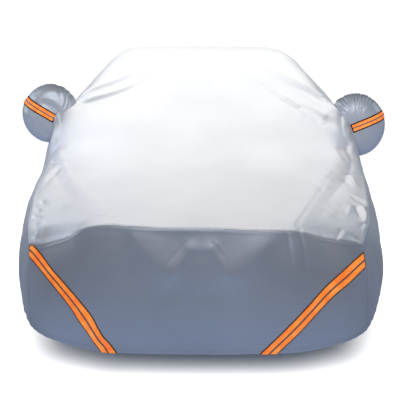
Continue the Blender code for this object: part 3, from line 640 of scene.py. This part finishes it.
def panel_grids():
    """{panel: its outer surface}, as grids whose rows run up and columns left to right, seen from outside."""
    stations, shares, top = top_grid()
    across = np.union1d(shares, np.linspace(*FRONT_MIDDLE))
    fine = np.linspace(ALONG[0][0], ALONG[-1][1], SIDE_ALONG + 1)
    along = (fine - fine[0]) / (fine[-1] - fine[0])
    edges = {
        "front_panel": (across, along_edge(top[0], shares, across)),
        "side_panel_right": (1 + along, along_edge(top[:, -1], stations, fine)),
        "rear_panel": (2 + shares, top[-1, ::-1]),
        "side_panel_left": (4 - along[::-1], along_edge(top[::-1, 0], -stations[::-1], -fine[::-1])),
    }
    return {"top_panel": top} | {panel: skirt_grid(panel, *edge) for panel, edge in edges.items()}


# ---- meshes


def mesh_of(name, points, faces):
    """A mesh from points in the ground frame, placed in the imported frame."""
    mesh = bpy.data.meshes.new(name)
    mesh.from_pydata((np.asarray(points) - MOUNT).tolist(), [], [list(face) for face in faces])
    return mesh


def grid_quads(rows, columns):
    """The numbers of a grid's points, and its faces."""
    index = np.arange(rows * columns).reshape(rows, columns)
    corners = (index[:-1, :-1], index[:-1, 1:], index[1:, 1:], index[1:, :-1])
    return index, np.stack([corner.ravel() for corner in corners], axis=1)


def sheet_mesh(name, outer, inner):
    """A closed sheet between two like grids, with a UV map in metres along the cloth."""
    rows, columns = outer.shape[:2]
    count = rows * columns
    index, skin = grid_quads(rows, columns)
    rim = np.concatenate([index[0, :-1], index[:-1, -1], index[-1, :0:-1], index[:0:-1, 0]])
    after = np.roll(rim, -1)
    sides = np.stack([rim + count, after + count, after, rim], axis=1)
    faces = np.concatenate([skin, skin[:, ::-1] + count, sides])
    mesh = mesh_of(name, np.concatenate([outer.reshape(-1, 3), inner.reshape(-1, 3)]), faces.tolist())
    away = edge_distances(outer)
    flat = np.stack([away["left"] - away["left"][:, -1:] / 2, away["bottom"]], axis=-1).reshape(-1, 2)
    lay_out(mesh, np.concatenate([flat, flat]))
    return mesh


def lay_out(mesh, flat):
    """Gives the mesh a UV map from a place on the flat cloth, in metres, for each of its points."""
    corners = np.empty(len(mesh.loops), dtype=np.int64)
    mesh.loops.foreach_get("vertex_index", corners)
    layer = mesh.uv_layers.new(name="cloth")
    layer.data.foreach_set("uv", np.asarray(flat)[corners].ravel())


def new_object(name, data):
    """An object at the origin, in the scene."""
    made = bpy.data.objects.new(name, data)
    bpy.context.scene.collection.objects.link(made)
    return made


def add_piece(name, mesh, finish, replaced):
    """A finished piece: its look, the body it rides on, and the solids it stands for."""
    made = new_object(name, mesh)
    mesh.materials.clear()
    mesh.materials.append(finish)
    mesh.shade_smooth()
    mesh.set_sharp_from_angle(angle=math.radians(55))
    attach(made, "root")
    if replaced:
        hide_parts(*replaced)
    return made


def as_plain_mesh(made, name):
    """The object's evaluated mesh as a mesh of its own. The object is removed."""
    depsgraph = bpy.context.evaluated_depsgraph_get()
    mesh = bpy.data.meshes.new_from_object(made.evaluated_get(depsgraph))
    mesh.name = name
    bpy.data.objects.remove(made)
    return mesh


def mesh_from(bag, name):
    """The bmesh as a mesh. The bmesh is freed."""
    mesh = bpy.data.meshes.new(name)
    bag.to_mesh(mesh)
    bag.free()
    return mesh


# ---- mirror pockets


def gather_folds():
    """The right pocket's gathers as rows of a fold table: uneven, and in and out by turns."""
    chance = np.random.default_rng(GATHERS["seed"])
    middle = np.array(GATHERS["middle"])
    rows = []
    for k, bearing in enumerate(np.linspace(*GATHERS["bearings"], GATHERS["count"])):
        turned = math.radians(bearing + chance.uniform(-1.5, 1.5))
        way = np.array([math.sin(turned), math.cos(turned)])
        ends = [middle + chance.uniform(*GATHERS[end]) * way for end in ("from", "to")]
        stands = (-1) ** k * chance.uniform(*GATHERS["stands"])
        width = chance.uniform(*GATHERS["widths"])
        rows.append((0.8 * stands, stands, width, width, ends))
    return tuple(rows)


def pocket_rings(side, tilts, grow=0.0, plain=False):
    """Rings of points round a pocket, from the middle of its front to the middle of its back."""
    pocket = dict(zip(POCKET_COLUMNS, POCKETS[side]))
    around = np.linspace(0, 2 * math.pi, POCKET_ROUND, endpoint=False)[None, :]
    tilt = np.asarray(tilts)[:, None]
    share = np.sin(tilt) ** POCKET_SQUARE
    sizes = np.array([pocket["wide"], pocket["deep"], pocket["high"]])
    way = np.stack([share * np.cos(around), -np.cos(tilt) + 0 * around, share * np.sin(around)], axis=-1)
    middle = np.array([pocket["x"], pocket["y"], pocket["z"]])
    points = middle + sizes * way
    outward = way / sizes
    outward /= np.linalg.norm(outward, axis=-1, keepdims=True)
    height = np.full(points.shape[:2], float(grow))
    if not plain:
        folds = POCKET_FOLDS[side] + (gather_folds() if side == "right" else ())
        height += fold_height(points[..., (0, 2)], folds)
        height += POCKET_RIM * falloff(tilt - math.pi / 2, POCKET_RIM_REACH) + rumple(points, "pocket")
    return points + height[..., None] * outward


def pocket_bag(side, grow=0.0, plain=False):
    """The whole flattened bag as a closed bmesh."""
    tilts = np.linspace(0, math.pi, POCKET_DEEP + 1)[1:-1]
    grid = pocket_rings(side, tilts, grow, plain)
    middle = np.array(POCKETS[side][:3])
    deep = POCKETS[side][4] + grow
    bag = bmesh.new()
    rings = [[bag.verts.new(point) for point in ring] for ring in (grid - MOUNT).tolist()]
    poles = [bag.verts.new((middle + [0, reach, 0] - MOUNT).tolist()) for reach in (-deep, deep)]
    for k in range(POCKET_ROUND):
        after = (k + 1) % POCKET_ROUND
        bag.faces.new((poles[0], rings[0][k], rings[0][after]))
        bag.faces.new((poles[1], rings[-1][after], rings[-1][k]))
        for ring, following in zip(rings[:-1], rings[1:]):
            bag.faces.new((ring[k], following[k], following[after], ring[after]))
    bmesh.ops.recalc_face_normals(bag, faces=bag.faces)
    return bag


def root_plane(side):
    """A point and the outward normal of the plane where a pocket's mouth ends, inside the top panel."""
    half = np.linspace(0, 1, 33)
    surface = top_surface(np.linspace(*POCKET_STRETCH, 33), np.concatenate([-half[:0:-1], half]))
    middle = np.array(POCKETS[side][:3])
    nearest = np.unravel_index(np.argmin(np.linalg.norm(surface - middle, axis=-1)), surface.shape[:2])
    normal = grid_normals(surface)[nearest]
    return surface[nearest] - POCKET_ROOT * normal, normal


def pocket_mesh(side):
    """A pocket of cloth, open at its mouth."""
    name = f"mirror_pocket_{side}_cloth"
    bag = pocket_bag(side)
    point, normal = root_plane(side)
    parts = [*bag.verts, *bag.edges, *bag.faces]
    bmesh.ops.bisect_plane(
        bag, geom=parts, plane_co=(point - MOUNT).tolist(), plane_no=normal.tolist(), clear_inner=True
    )
    made = new_object(name, mesh_from(bag, name))
    wall = made.modifiers.new("wall", "SOLIDIFY")
    wall.thickness = CLOTH
    wall.offset = -1
    mesh = as_plain_mesh(made, name)
    places = np.array([vertex.co for vertex in mesh.vertices])
    lay_out(mesh, places[:, (0, 2)])
    return mesh


def cut_pocket_holes(mesh):
    """Opens the top panel where the pockets are sewn on."""
    panel = new_object("top_panel_working", mesh)
    cutters = []
    for side in POCKETS:
        name = f"pocket_hole_{side}"
        cutters.append(new_object(name, mesh_from(pocket_bag(side, -POCKET_HOLE, plain=True), name)))
        boolean = panel.modifiers.new(name, "BOOLEAN")
        boolean.operation = "DIFFERENCE"
        boolean.object = cutters[-1]
        boolean.solver = "MANIFOLD"
    mesh = as_plain_mesh(panel, mesh.name)
    for cutter in cutters:
        bpy.data.objects.remove(cutter)
    return mesh


# ---- high-visibility strips

STRIP_STEP = 0.006  # between places along a strip
STRIP_ACROSS = 9
STRIP_PUCKER = 0.0007  # how far its stitching draws a strip into waves
STRIP_WAVE = 0.034


def cloth_tree(grid):
    """A search tree over a panel's outer surface."""
    rows, columns = grid.shape[:2]
    return BVHTree.FromPolygons(grid.reshape(-1, 3).tolist(), grid_quads(rows, columns)[1].tolist())


def pocket_tree(side):
    """A search tree over a pocket's outer surface."""
    tilts = np.linspace(0.02, math.pi - 0.02, POCKET_DEEP + 1)
    grid = pocket_rings(side, tilts)
    grid = np.concatenate([grid, grid[:, :1]], axis=1)
    return cloth_tree(grid[::-1])


def smooth_path(line):
    """Places (x, z) and widths along a strip's middle, read at shares of its length."""
    data = dict(zip(STRIP_COLUMNS, np.array(line).T))
    points = np.stack([data["x"], data["z"]], axis=-1)
    length = np.concatenate([[0], np.cumsum(np.linalg.norm(np.diff(points, axis=0), axis=1))])

    def read(shares):
        at = np.asarray(shares) * length[-1]
        if len(line) == 2:
            return np.stack([np.interp(at, length, data[name]) for name in STRIP_COLUMNS], axis=-1)
        return np.stack([curve(length, data[name], at) for name in STRIP_COLUMNS], axis=-1)

    return read, length[-1]


def strip_place(read, share, across, trim):
    """Where (x, z) a place lies that is `across` (-1 to 1) a strip narrowed by `trim` on both sides."""
    step = 0.01
    shares = np.clip([share - step, share, share + step], 0, 1)
    before, here, after = read(shares)
    way = (after - before)[:2]
    way /= np.linalg.norm(way)
    return here[:2] + across * (here[2] / 2 - trim) * np.array([way[1], -way[0]])


def hit_cloth(tree, place):
    """The point and normal where a line straight back from the front meets the cloth, or None."""
    hit, normal, _, _ = tree.ray_cast(Vector((place[0], -0.5, place[1])), Vector((0, 1, 0)))
    if hit is None:
        return None
    return np.array(hit), np.array(normal)


def nearest_found(found):
    """The same list, with the nearest hit wherever a line met nothing."""
    good = [k for k, place in enumerate(found) if place is not None]
    return [found[min(good, key=lambda other: abs(other - k))] for k in range(len(found))]


def cloth_reach(read, tree, across, trim):
    """The first and last shares of a strip, at that place across it, that lie on the cloth."""
    shares = np.linspace(0, 1, 161)
    on = [hit_cloth(tree, strip_place(read, share, across, trim)) is not None for share in shares]
    inside = np.flatnonzero(on)
    ends = []
    for first, outside in ((inside[0], inside[0] - 1), (inside[-1], inside[-1] + 1)):
        good = shares[first]
        if 0 <= outside < len(shares):
            bad = shares[outside]
            for _ in range(7):
                middle = (good + bad) / 2
                if hit_cloth(tree, strip_place(read, middle, across, trim)) is None:
                    bad = middle
                else:
                    good = middle
        ends.append(good)
    return ends


def strip_grid(line, tree, trim, short):
    """Points and normals on the cloth under a strip's layer, which stops `short` of the strip's ends."""
    read, length = smooth_path(line)
    columns = []
    for across in np.linspace(-1, 1, STRIP_ACROSS):
        first, last = cloth_reach(read, tree, across, trim)
        shares = np.linspace(first + short[0] / length, last - short[1] / length, round(length / STRIP_STEP))
        found = [hit_cloth(tree, strip_place(read, share, across, trim)) for share in shares]
        columns.append(nearest_found(found))
    grid = np.array(columns)
    return grid[:, :, 0], grid[:, :, 1], length


def strip_mesh(name, line, tree, layer, trim, short):
    """One layer of a strip: a closed band with rounded edges, laid on the cloth."""
    points, normals, length = strip_grid(line, tree, trim, short)
    across = np.linspace(-1, 1, points.shape[0])[:, None]
    along = np.linspace(0, length, points.shape[1])[None, :]
    wave = STRIP_PUCKER * np.sin(2 * math.pi * along / STRIP_WAVE) * (1 - across**2)
    crown = layer["thick"] * (1 - 0.5 * across**8)
    lower = points + layer["lift"] * normals
    upper = points + (layer["lift"] + crown + wave + STRIP_PUCKER)[..., None] * normals
    mesh = sheet_mesh(name, upper, lower)
    working = bmesh.new()
    working.from_mesh(mesh)
    bmesh.ops.recalc_face_normals(working, faces=working.faces)
    working.to_mesh(mesh)
    working.free()
    return mesh


def make_strip(place, side, line, tree, short, finishes):
    """The three layers of a strip. The tape and the reflector stop short of edging that shows at an end."""
    widths = np.array(line)[:, STRIP_COLUMNS.index("width")]
    made = []
    for row in LAYERS:
        layer = dict(zip(LAYER_COLUMNS, row))
        kind = layer["layer"]
        node = f"strip_{place}_{side}_{kind}"
        trim = {"edging": 0, "tape": EDGING[place], "reflector": (widths.mean() - REFLECTOR) / 2}[kind]
        rows = line
        if kind == "reflector":
            rows = [(x, z, REFLECTOR + 2 * trim) for x, z, _ in line]
        ends = (0, 0) if kind == "edging" else short
        mesh = strip_mesh(f"{node}_cloth", rows, tree, layer, trim, ends)
        finish = layer["finish"]
        made.append(add_piece(mesh.name, mesh, finishes[finish], [node]))
    return made


# ---- stitches


def inset_line(grid, side, inset):
    """The line that lies `inset` along the cloth from one side of a grid, lifted just off the cloth."""
    raised = grid + STITCH_LIFT * grid_normals(grid)
    away = edge_distances(grid)[side]
    rows = grid
    if side in ("left", "right"):
        rows, raised, away = rows.swapaxes(0, 1), raised.swapaxes(0, 1), away.T
    if side in ("top", "right"):
        rows, raised, away = rows[::-1], raised[::-1], away[::-1]
    columns = range(rows.shape[1])
    line = [[np.interp(inset, away[:, k], raised[:, k, axis]) for axis in range(3)] for k in columns]
    margin = max(1, round(STITCH_MARGIN / max(np.linalg.norm(rows[0, 1] - rows[0, 0]), 1e-6)))
    return np.array(line)[margin:-margin]


def cover_stitch_lines(grids):
    """Lines of stitches beside every seam, and round the turned hem."""
    lines = []
    for panel, grid in grids.items():
        insets = {"top": STITCH_INSET, "bottom": HEM_STITCH_INSET, "left": STITCH_INSET}
        if panel == "top_panel":
            insets = dict.fromkeys(("bottom", "top", "left", "right"), STITCH_INSET)
        lines += [inset_line(grid, side, inset) for side, inset in insets.items()]
    return lines + [pocket_stitch_line(side) for side in POCKETS]


def pocket_stitch_line(side):
    """Stitches on a pocket's front, just inside the seam between its rounds."""
    ring = pocket_rings(side, [POCKET_STITCH_TILT], STITCH_LIFT)[0]
    point, normal = root_plane(side)
    outside = (ring - point) @ normal > POCKET_STITCH_ROOT
    start = np.flatnonzero(~outside)[-1] + 1
    return np.roll(ring, -start, axis=0)[np.roll(outside, -start)]


def strip_stitch_lines(place, line, tree, short):
    """Two lines of stitches along a strip's tape."""
    points, normals, _ = strip_grid(line, tree, EDGING[place] + TAPE_STITCH_INSET, short)
    lift = LAYERS[1][1] + LAYERS[1][2] + STRIP_PUCKER
    return [(points + lift * normals)[edge, 1:-1] for edge in (0, -1)]


def stitch_tree(name, thread):
    """Geometry Nodes that set a row of stitches along every edge line they are given."""
    tree = bpy.data.node_groups.new(name, "GeometryNodeTree")
    sockets = (("Lines", "INPUT", "Geometry"), ("Stitches", "OUTPUT", "Geometry"))
    sizes = [(label, "INPUT", "Float") for label in COVER_STITCHES]
    for label, way, kind in (*sockets, *sizes):
        tree.interface.new_socket(label, in_out=way, socket_type=f"NodeSocket{kind}")
    given = add_node(tree, "NodeGroupInput").outputs
    lines = add_node(tree, "GeometryNodeMeshToCurve", inputs={"Mesh": given["Lines"]})
    places = add_node(
        tree, "GeometryNodeCurveToPoints", {"mode": "LENGTH"}, {"Curve": lines, "Length": given["Pitch"]}
    )
    bead = add_node(tree, "GeometryNodeMeshUVSphere", inputs={"Segments": 5, "Rings": 3, "Radius": 1.0})
    half = add_node(tree, "ShaderNodeMath", {"operation": "MULTIPLY"}, {0: given["Stitch Length"], 1: 0.5})
    radius = given["Thread Radius"]
    size = add_node(tree, "ShaderNodeCombineXYZ", inputs={"X": radius, "Y": radius, "Z": half})
    along = {"Vector": places.outputs["Tangent"]}
    turn = add_node(tree, "FunctionNodeAlignRotationToVector", {"axis": "Z"}, along)
    placed = {"Points": places, "Instance": bead, "Rotation": turn, "Scale": size}
    rows = add_node(tree, "GeometryNodeInstanceOnPoints", inputs=placed)
    real = add_node(tree, "GeometryNodeRealizeInstances", inputs={"Geometry": rows})
    dressed = add_node(tree, "GeometryNodeSetMaterial", inputs={"Geometry": real, "Material": thread})
    add_node(tree, "NodeGroupOutput", inputs={"Stitches": dressed})
    return tree


def make_stitches(name, lines, thread, sizes):
    """A row of stitches along each line."""
    points = np.concatenate(lines)
    edges = []
    start = 0
    for line in lines:
        edges += [(start + k, start + k + 1) for k in range(len(line) - 1)]
        start += len(line)
    guide = bpy.data.meshes.new(f"{name}_lines")
    guide.from_pydata((points - MOUNT).tolist(), edges, [])
    made = new_object(guide.name, guide)
    rows = made.modifiers.new("stitches", "NODES")
    rows.node_group = stitch_tree(f"{name}_rows", thread)
    for socket in rows.node_group.interface.items_tree:
        if socket.name in sizes:
            rows[socket.identifier] = sizes[socket.name]
    mesh = as_plain_mesh(made, name)
    return add_piece(name, mesh, thread, [])


# ---- materials


def rgb(code):
    """A linear colour from an sRGB hex code."""
    values = [int(code[k : k + 2], 16) / 255 for k in (0, 2, 4)]
    return (*(v / 12.92 if v <= 0.04045 else ((v + 0.055) / 1.055) ** 2.4 for v in values), 1.0)


def set_inputs(node, inputs):
    """Sets each input of a node to a value, or links it where it is given a node or one of its outputs."""
    for name, value in inputs.items():
        socket = node.inputs[name]
        if not socket.enabled:  # a Mix node has sockets of the same name for numbers, vectors and colours
            socket = next(other for other in node.inputs if other.enabled and other.name == name)
        if isinstance(value, bpy.types.Node):
            value = next(output for output in value.outputs if output.enabled)
        if isinstance(value, bpy.types.NodeSocket):
            node.id_data.links.new(value, socket)
        else:
            socket.default_value = value


def add_node(tree, kind, settings=None, inputs=None, stops=()):
    """Adds a node with its settings, its inputs and, on a colour ramp, its stops (place, sRGB hex code)."""
    made = tree.nodes.new(kind)
    for name, value in (settings or {}).items():
        setattr(made, name, value)
    for _ in stops[2:]:
        made.color_ramp.elements.new(0.5)
    for k, (place, code) in enumerate(stops):
        made.color_ramp.elements[k].position = place
        made.color_ramp.elements[k].color = rgb(code)
    set_inputs(made, inputs or {})
    return made


def new_finish(name):
    """A material with its tree and its Principled shader."""
    made = bpy.data.materials.new(name)
    made.use_nodes = True
    return made, made.node_tree, made.node_tree.nodes["Principled BSDF"]


def cloudiness(tree, scale, detail=2.0, roughness=0.5):
    """Smooth noise that stays with the piece."""
    places = add_node(tree, "ShaderNodeTexCoord").outputs["Object"]
    sizes = {"Vector": places, "Scale": scale, "Detail": detail, "Roughness": roughness}
    return add_node(tree, "ShaderNodeTexNoise", inputs=sizes)


def woven_threads(tree, pitch_mm, ribbed=1.0):
    """Threads over and under each other along the cloth, at that spacing. `ribbed` makes the picks ribs."""
    cloth = add_node(tree, "ShaderNodeUVMap", {"uv_map": "cloth"})
    waves = []
    for direction, share in (("X", 1.0), ("Y", ribbed)):
        sizes = {"Vector": cloth, "Scale": 1000 / (pitch_mm * share * 20) * math.pi, "Distortion": 0.4}
        waves.append(add_node(tree, "ShaderNodeTexWave", {"bands_direction": direction}, sizes))
    both = {k: wave.outputs["Fac"] for k, wave in enumerate(waves)}
    return add_node(tree, "ShaderNodeMath", {"operation": "ADD"}, both)


def silver_cloth():
    """Silver-coated polyester taffeta.

    A thin aluminium-pigment coating on woven cloth: half metal, half paint, so that it takes soft bright
    highlights along its creases. Its threads lie 0.3 mm apart, and are drawn at 2.4 mm so that they show.
    """
    made, tree, shader = new_finish("silver_coated_polyester")
    cloud = cloudiness(tree, 3.0, 3.0)
    rough = add_node(tree, "ShaderNodeMapRange", inputs={"Value": cloud, "To Min": 0.46, "To Max": 0.54})
    crumple = {"Height": cloudiness(tree, 14.0, 5.0, 0.55), "Distance": 0.010, "Strength": 0.16}
    creased = add_node(tree, "ShaderNodeBump", inputs=crumple)
    threads = {"Height": woven_threads(tree, 2.4), "Distance": 0.0004, "Strength": 0.25, "Normal": creased}
    look = {
        "Base Color": add_node(
            tree, "ShaderNodeValToRGB", inputs={"Fac": cloud}, stops=((0.30, "C9CDD3"), (0.70, "D3D6DB"))
        ),
        "Roughness": rough,
        "Metallic": 0.35,
        "Sheen Weight": 0.10,
        "Sheen Roughness": 0.5,
        "Normal": add_node(tree, "ShaderNodeBump", inputs=threads),
    }
    set_inputs(shader, look)
    return made


def black_edging():
    """Woven polyester binding tape, dyed black: dull, with ribs 1.5 mm apart across it."""
    made, tree, shader = new_finish("woven_black_binding")
    threads = woven_threads(tree, 1.5, 2.0)
    shades = ((0.2, "15100E"), (0.9, "2B2320"))
    ribs = {"Height": threads, "Distance": 0.0004, "Strength": 0.5}
    look = {
        "Base Color": add_node(tree, "ShaderNodeValToRGB", inputs={"Fac": threads}, stops=shades),
        "Roughness": 0.85,
        "Normal": add_node(tree, "ShaderNodeBump", inputs=ribs),
    }
    set_inputs(shader, look)
    return made


def orange_tape():
    """Fluorescent orange polyester tape, ribbed: it is given a painted glow of its own, and is paler in
    random places as painted highlights.
    """
    made, tree, shader = new_finish("orange_tape_painted_glow")
    cloud = cloudiness(tree, 16.0, 2.0, 0.6)
    # the paler places at random are painted highlights on the tape
    shades = ((0.30, "FF7028"), (0.50, "FF8A34"), (0.70, "FF9E48"))
    colour = add_node(tree, "ShaderNodeValToRGB", inputs={"Fac": cloud}, stops=shades)
    ribs = {"Height": woven_threads(tree, 2.0, 2.0), "Distance": 0.0005, "Strength": 0.5}
    look = {
        "Base Color": colour,
        # the emission is a painted glow: the tape gives off light of its own, though it is no lamp
        "Emission Color": colour,
        "Emission Strength": 0.70,
        "Roughness": 0.55,
        "Normal": add_node(tree, "ShaderNodeBump", inputs=ribs),
    }
    set_inputs(shader, look)
    return made


def grey_reflector():
    """Glass-bead reflective band: fine grey grains with a metal backing."""
    made, tree, shader = new_finish("glass_bead_reflector")
    grains = cloudiness(tree, 240.0)
    shades = ((0.35, "86665A"), (0.65, "B09082"))
    beads = {"Height": grains, "Distance": 0.0003, "Strength": 0.4}
    look = {
        "Base Color": add_node(tree, "ShaderNodeValToRGB", inputs={"Fac": grains}, stops=shades),
        "Roughness": 0.45,
        "Normal": add_node(tree, "ShaderNodeBump", inputs=beads),
    }
    set_inputs(shader, look)
    return made


def sewing_thread(name, code):
    """Spun polyester sewing thread: dull, with a slight twist of light and dark."""
    made, tree, shader = new_finish(name)
    twist = cloudiness(tree, 900.0, 1.0).outputs["Color"]
    dyed = {"Factor": 0.4, "A": rgb(code), "B": twist}
    colour = add_node(tree, "ShaderNodeMix", {"data_type": "RGBA", "blend_type": "MULTIPLY"}, dyed)
    set_inputs(shader, {"Base Color": colour, "Roughness": 0.8})
    return made


def studio_floor_finish():
    """Matt pale grey paint on a smooth floor, with the slightest mottling. Its own light makes it white."""
    made, tree, shader = new_finish("matt_pale_floor")
    cloud = cloudiness(tree, 0.6)
    shades = ((0.3, "B6B2AA"), (0.7, "B9B5AD"))
    colour = add_node(tree, "ShaderNodeValToRGB", inputs={"Fac": cloud}, stops=shades)
    set_inputs(shader, {"Base Color": colour, "Roughness": 0.9})
    return made


# ---- the pieces


def make_cover(finishes):
    """The cover's five panels, its pockets, strips and stitches."""
    grids = panel_grids()
    for panel, outer in grids.items():
        mesh = sheet_mesh(f"{panel}_cloth", outer, outer - CLOTH * grid_normals(outer))
        if panel == "top_panel":
            mesh = cut_pocket_holes(mesh)
        add_piece(f"{panel}_cloth", mesh, finishes["silver_cloth"], [panel])
    strips = {"front": [], "left": [], "right": []}
    stitches = []
    front = cloth_tree(grids["front_panel"])
    for side in POCKETS:
        outer_end = (0, EDGING["mirror"]) if side == "left" else (EDGING["mirror"], 0)
        pair = (
            ("front", "front", FRONT_STRIPS[side], front, (0, EDGING["front"])),
            ("mirror", side, POCKET_STRIPS[side], pocket_tree(side), outer_end),
        )
        for place, group, line, tree, short in pair:
            strips[group] += make_strip(place, side, line, tree, short, finishes)
            stitches += strip_stitch_lines(place, line, tree, short)
    grey = sewing_thread("grey_polyester_thread", "A9AEB6")
    orange = sewing_thread("orange_polyester_thread", "C9571E")
    sewn = make_stitches("cover_stitches", cover_stitch_lines(grids), grey, COVER_STITCHES)
    tape_sewn = make_stitches("strip_stitches", stitches, orange, STRIP_STITCHES)
    for side in POCKETS:
        name = f"mirror_pocket_{side}"
        mesh = pocket_mesh(side)
        pocket = add_piece(f"{name}_cloth", mesh, finishes["silver_cloth"], [name])


# ---- the studio


def new_light(name, kind, power, code, turn, lit=None):
    """A light at the origin that faces that way. Where it is given pieces to light, it lights only those."""
    light = bpy.data.lights.new(name, kind)
    light.energy = power
    light.color = rgb(code)[:3]
    made = new_object(name, light)
    made.rotation_euler = turn
    made.visible_camera = False
    if lit is not None:
        group = bpy.data.collections.new(f"lit_by_{name}")
        for piece in lit:
            group.objects.link(piece)
        made.light_linking.receiver_collection = group
    return made


def add_softbox(name, place, aim, size, power, code, lights):
    """A soft rectangular light at a place, facing another, for all pieces, the pockets, or all but them."""
    pieces = [piece for piece in bpy.context.scene.objects if piece.type == "MESH"]
    groups = {"pockets": [piece for piece in pieces if "mirror" in piece.name]}
    groups["panels"] = [piece for piece in pieces if piece not in groups["pockets"]]
    turn = (Vector(aim) - Vector(place)).to_track_quat("-Z", "Y").to_euler()
    made = new_light(name, "AREA", power, code, turn, groups.get(lights))
    made.location = Vector(place) - Vector(MOUNT)
    made.data.shape = "RECTANGLE"
    made.data.size, made.data.size_y = size


def add_floor_sun(floor, power, code, elevation, spread):
    """A broad low light from the front that lights the floor only, so that it stays white all round."""
    turn = (math.radians(90 - elevation), 0, 0)
    made = new_light("floor_light", "SUN", power, code, turn, [floor])
    made.data.angle = math.radians(spread)


WORLD_STOPS = (  # (height of the direction, sRGB hex code)
    (-1.0, "ABBEE2"),
    (-0.55, "9AAAC8"),
    (-0.38, "919EBA"),
    (-0.10, "7E8694"),
    (0.10, "5C5A5A"),
    (0.28, "101012"),
    (1.0, "08080A"),
)


def make_world():
    """A studio whose light comes softly blue from below, as off a wide pale floor, and is dim above."""
    world = bpy.data.worlds.new("studio")
    world.use_nodes = True
    tree = world.node_tree
    tree.nodes.clear()
    way = add_node(tree, "ShaderNodeTexCoord").outputs["Generated"]
    up = add_node(tree, "ShaderNodeSeparateXYZ", inputs={"Vector": way}).outputs["Z"]
    height = add_node(tree, "ShaderNodeMapRange", inputs={"Value": up, "From Min": -1.0, "From Max": 1.0})
    shades = [((z + 1) / 2, code) for z, code in WORLD_STOPS]
    colour = add_node(tree, "ShaderNodeValToRGB", inputs={"Fac": height}, stops=shades)
    lit = add_node(tree, "ShaderNodeBackground", inputs={"Color": colour, "Strength": 1.0})
    white = add_node(tree, "ShaderNodeBackground", inputs={"Color": (1, 1, 1, 1), "Strength": 1.0})
    seen = add_node(tree, "ShaderNodeLightPath").outputs["Is Camera Ray"]
    mix = add_node(tree, "ShaderNodeMixShader", inputs={0: seen, 1: lit, 2: white})
    add_node(tree, "ShaderNodeOutputWorld", inputs={"Surface": mix})
    bpy.context.scene.world = world


LIGHT_COLUMNS = ("name", "place", "aim", "size", "power", "code", "lights")
LIGHTS = (
    ("overhead_softbox", (0.0, 2.7, 2.6), (0.0, 2.7, 0.0), (3.0, 4.0), 66, "FFFAF2", "panels"),
    ("front_softbox", (0.0, -2.0, 4.5), (0.0, -2.0, 0.0), (3.0, 1.0), 84, "EDF2FF", "all"),
    ("upper_softbox", (0.0, 2.0, 4.5), (0.0, 2.0, 0.0), (3.0, 1.0), 14, "FFF6DC", "panels"),
    ("left_side_softbox", (-3.2, 2.2, 2.2), (-0.5, 2.2, 1.2), (1.5, 1.5), 26, "E6F1FF", "all"),
    ("right_side_softbox", (3.2, 2.2, 2.2), (0.5, 2.2, 1.2), (1.5, 1.5), 14, "E0EFFF", "all"),
    ("left_shoulder_softbox", (-1.9, 2.1, 3.2), (-0.7, 2.1, 0.9), (1.0, 2.2), 21, "E6EEFF", "panels"),
    ("right_shoulder_softbox", (1.9, 2.1, 3.2), (0.7, 2.1, 0.9), (1.0, 2.2), 9, "E0EEFF", "panels"),
    ("back_softbox", (0.0, 7.5, 2.6), (0.0, 2.4, 1.2), (4.0, 1.5), 18, "FFFFFF", "panels"),
    ("pocket_softbox", (0.0, -3.0, 3.6), (0.0, 1.6, 1.1), (3.0, 1.0), 92, "F6F8FF", "pockets"),
)


def make_studio():
    """The floor, the world's light and the softboxes."""
    corners = [(-30, -30, 0), (30, -30, 0), (30, 30, 0), (-30, 30, 0)]
    floor = new_object("studio_floor", mesh_of("studio_floor", corners, [(0, 1, 2, 3)]))
    floor.data.materials.append(studio_floor_finish())
    floor.visible_diffuse = False
    floor.visible_glossy = False
    floor.visible_shadow = False
    make_world()
    for row in LIGHTS:
        add_softbox(**dict(zip(LIGHT_COLUMNS, row)))
    add_floor_sun(floor, power=20.5, code="EEF3FF", elevation=22.5, spread=15)
    bpy.context.scene.view_settings.view_transform = "Standard"


def make_camera():
    """The photograph's view: from low in front, and a little downwards."""
    camera = bpy.data.cameras.new("camera")
    camera.lens = 158
    camera.sensor_width = 36
    camera.clip_end = 200
    made = new_object("camera", camera)
    made.location = (-0.01, -10.35, 1.06)
    made.rotation_euler = (math.radians(79.3), 0, 0)
    bpy.context.scene.camera = made


make_camera()
make_cover(
    {
        "silver_cloth": silver_cloth(),
        "black_edging": black_edging(),
        "orange_tape": orange_tape(),
        "grey_reflector": grey_reflector(),
    }
)
make_studio()
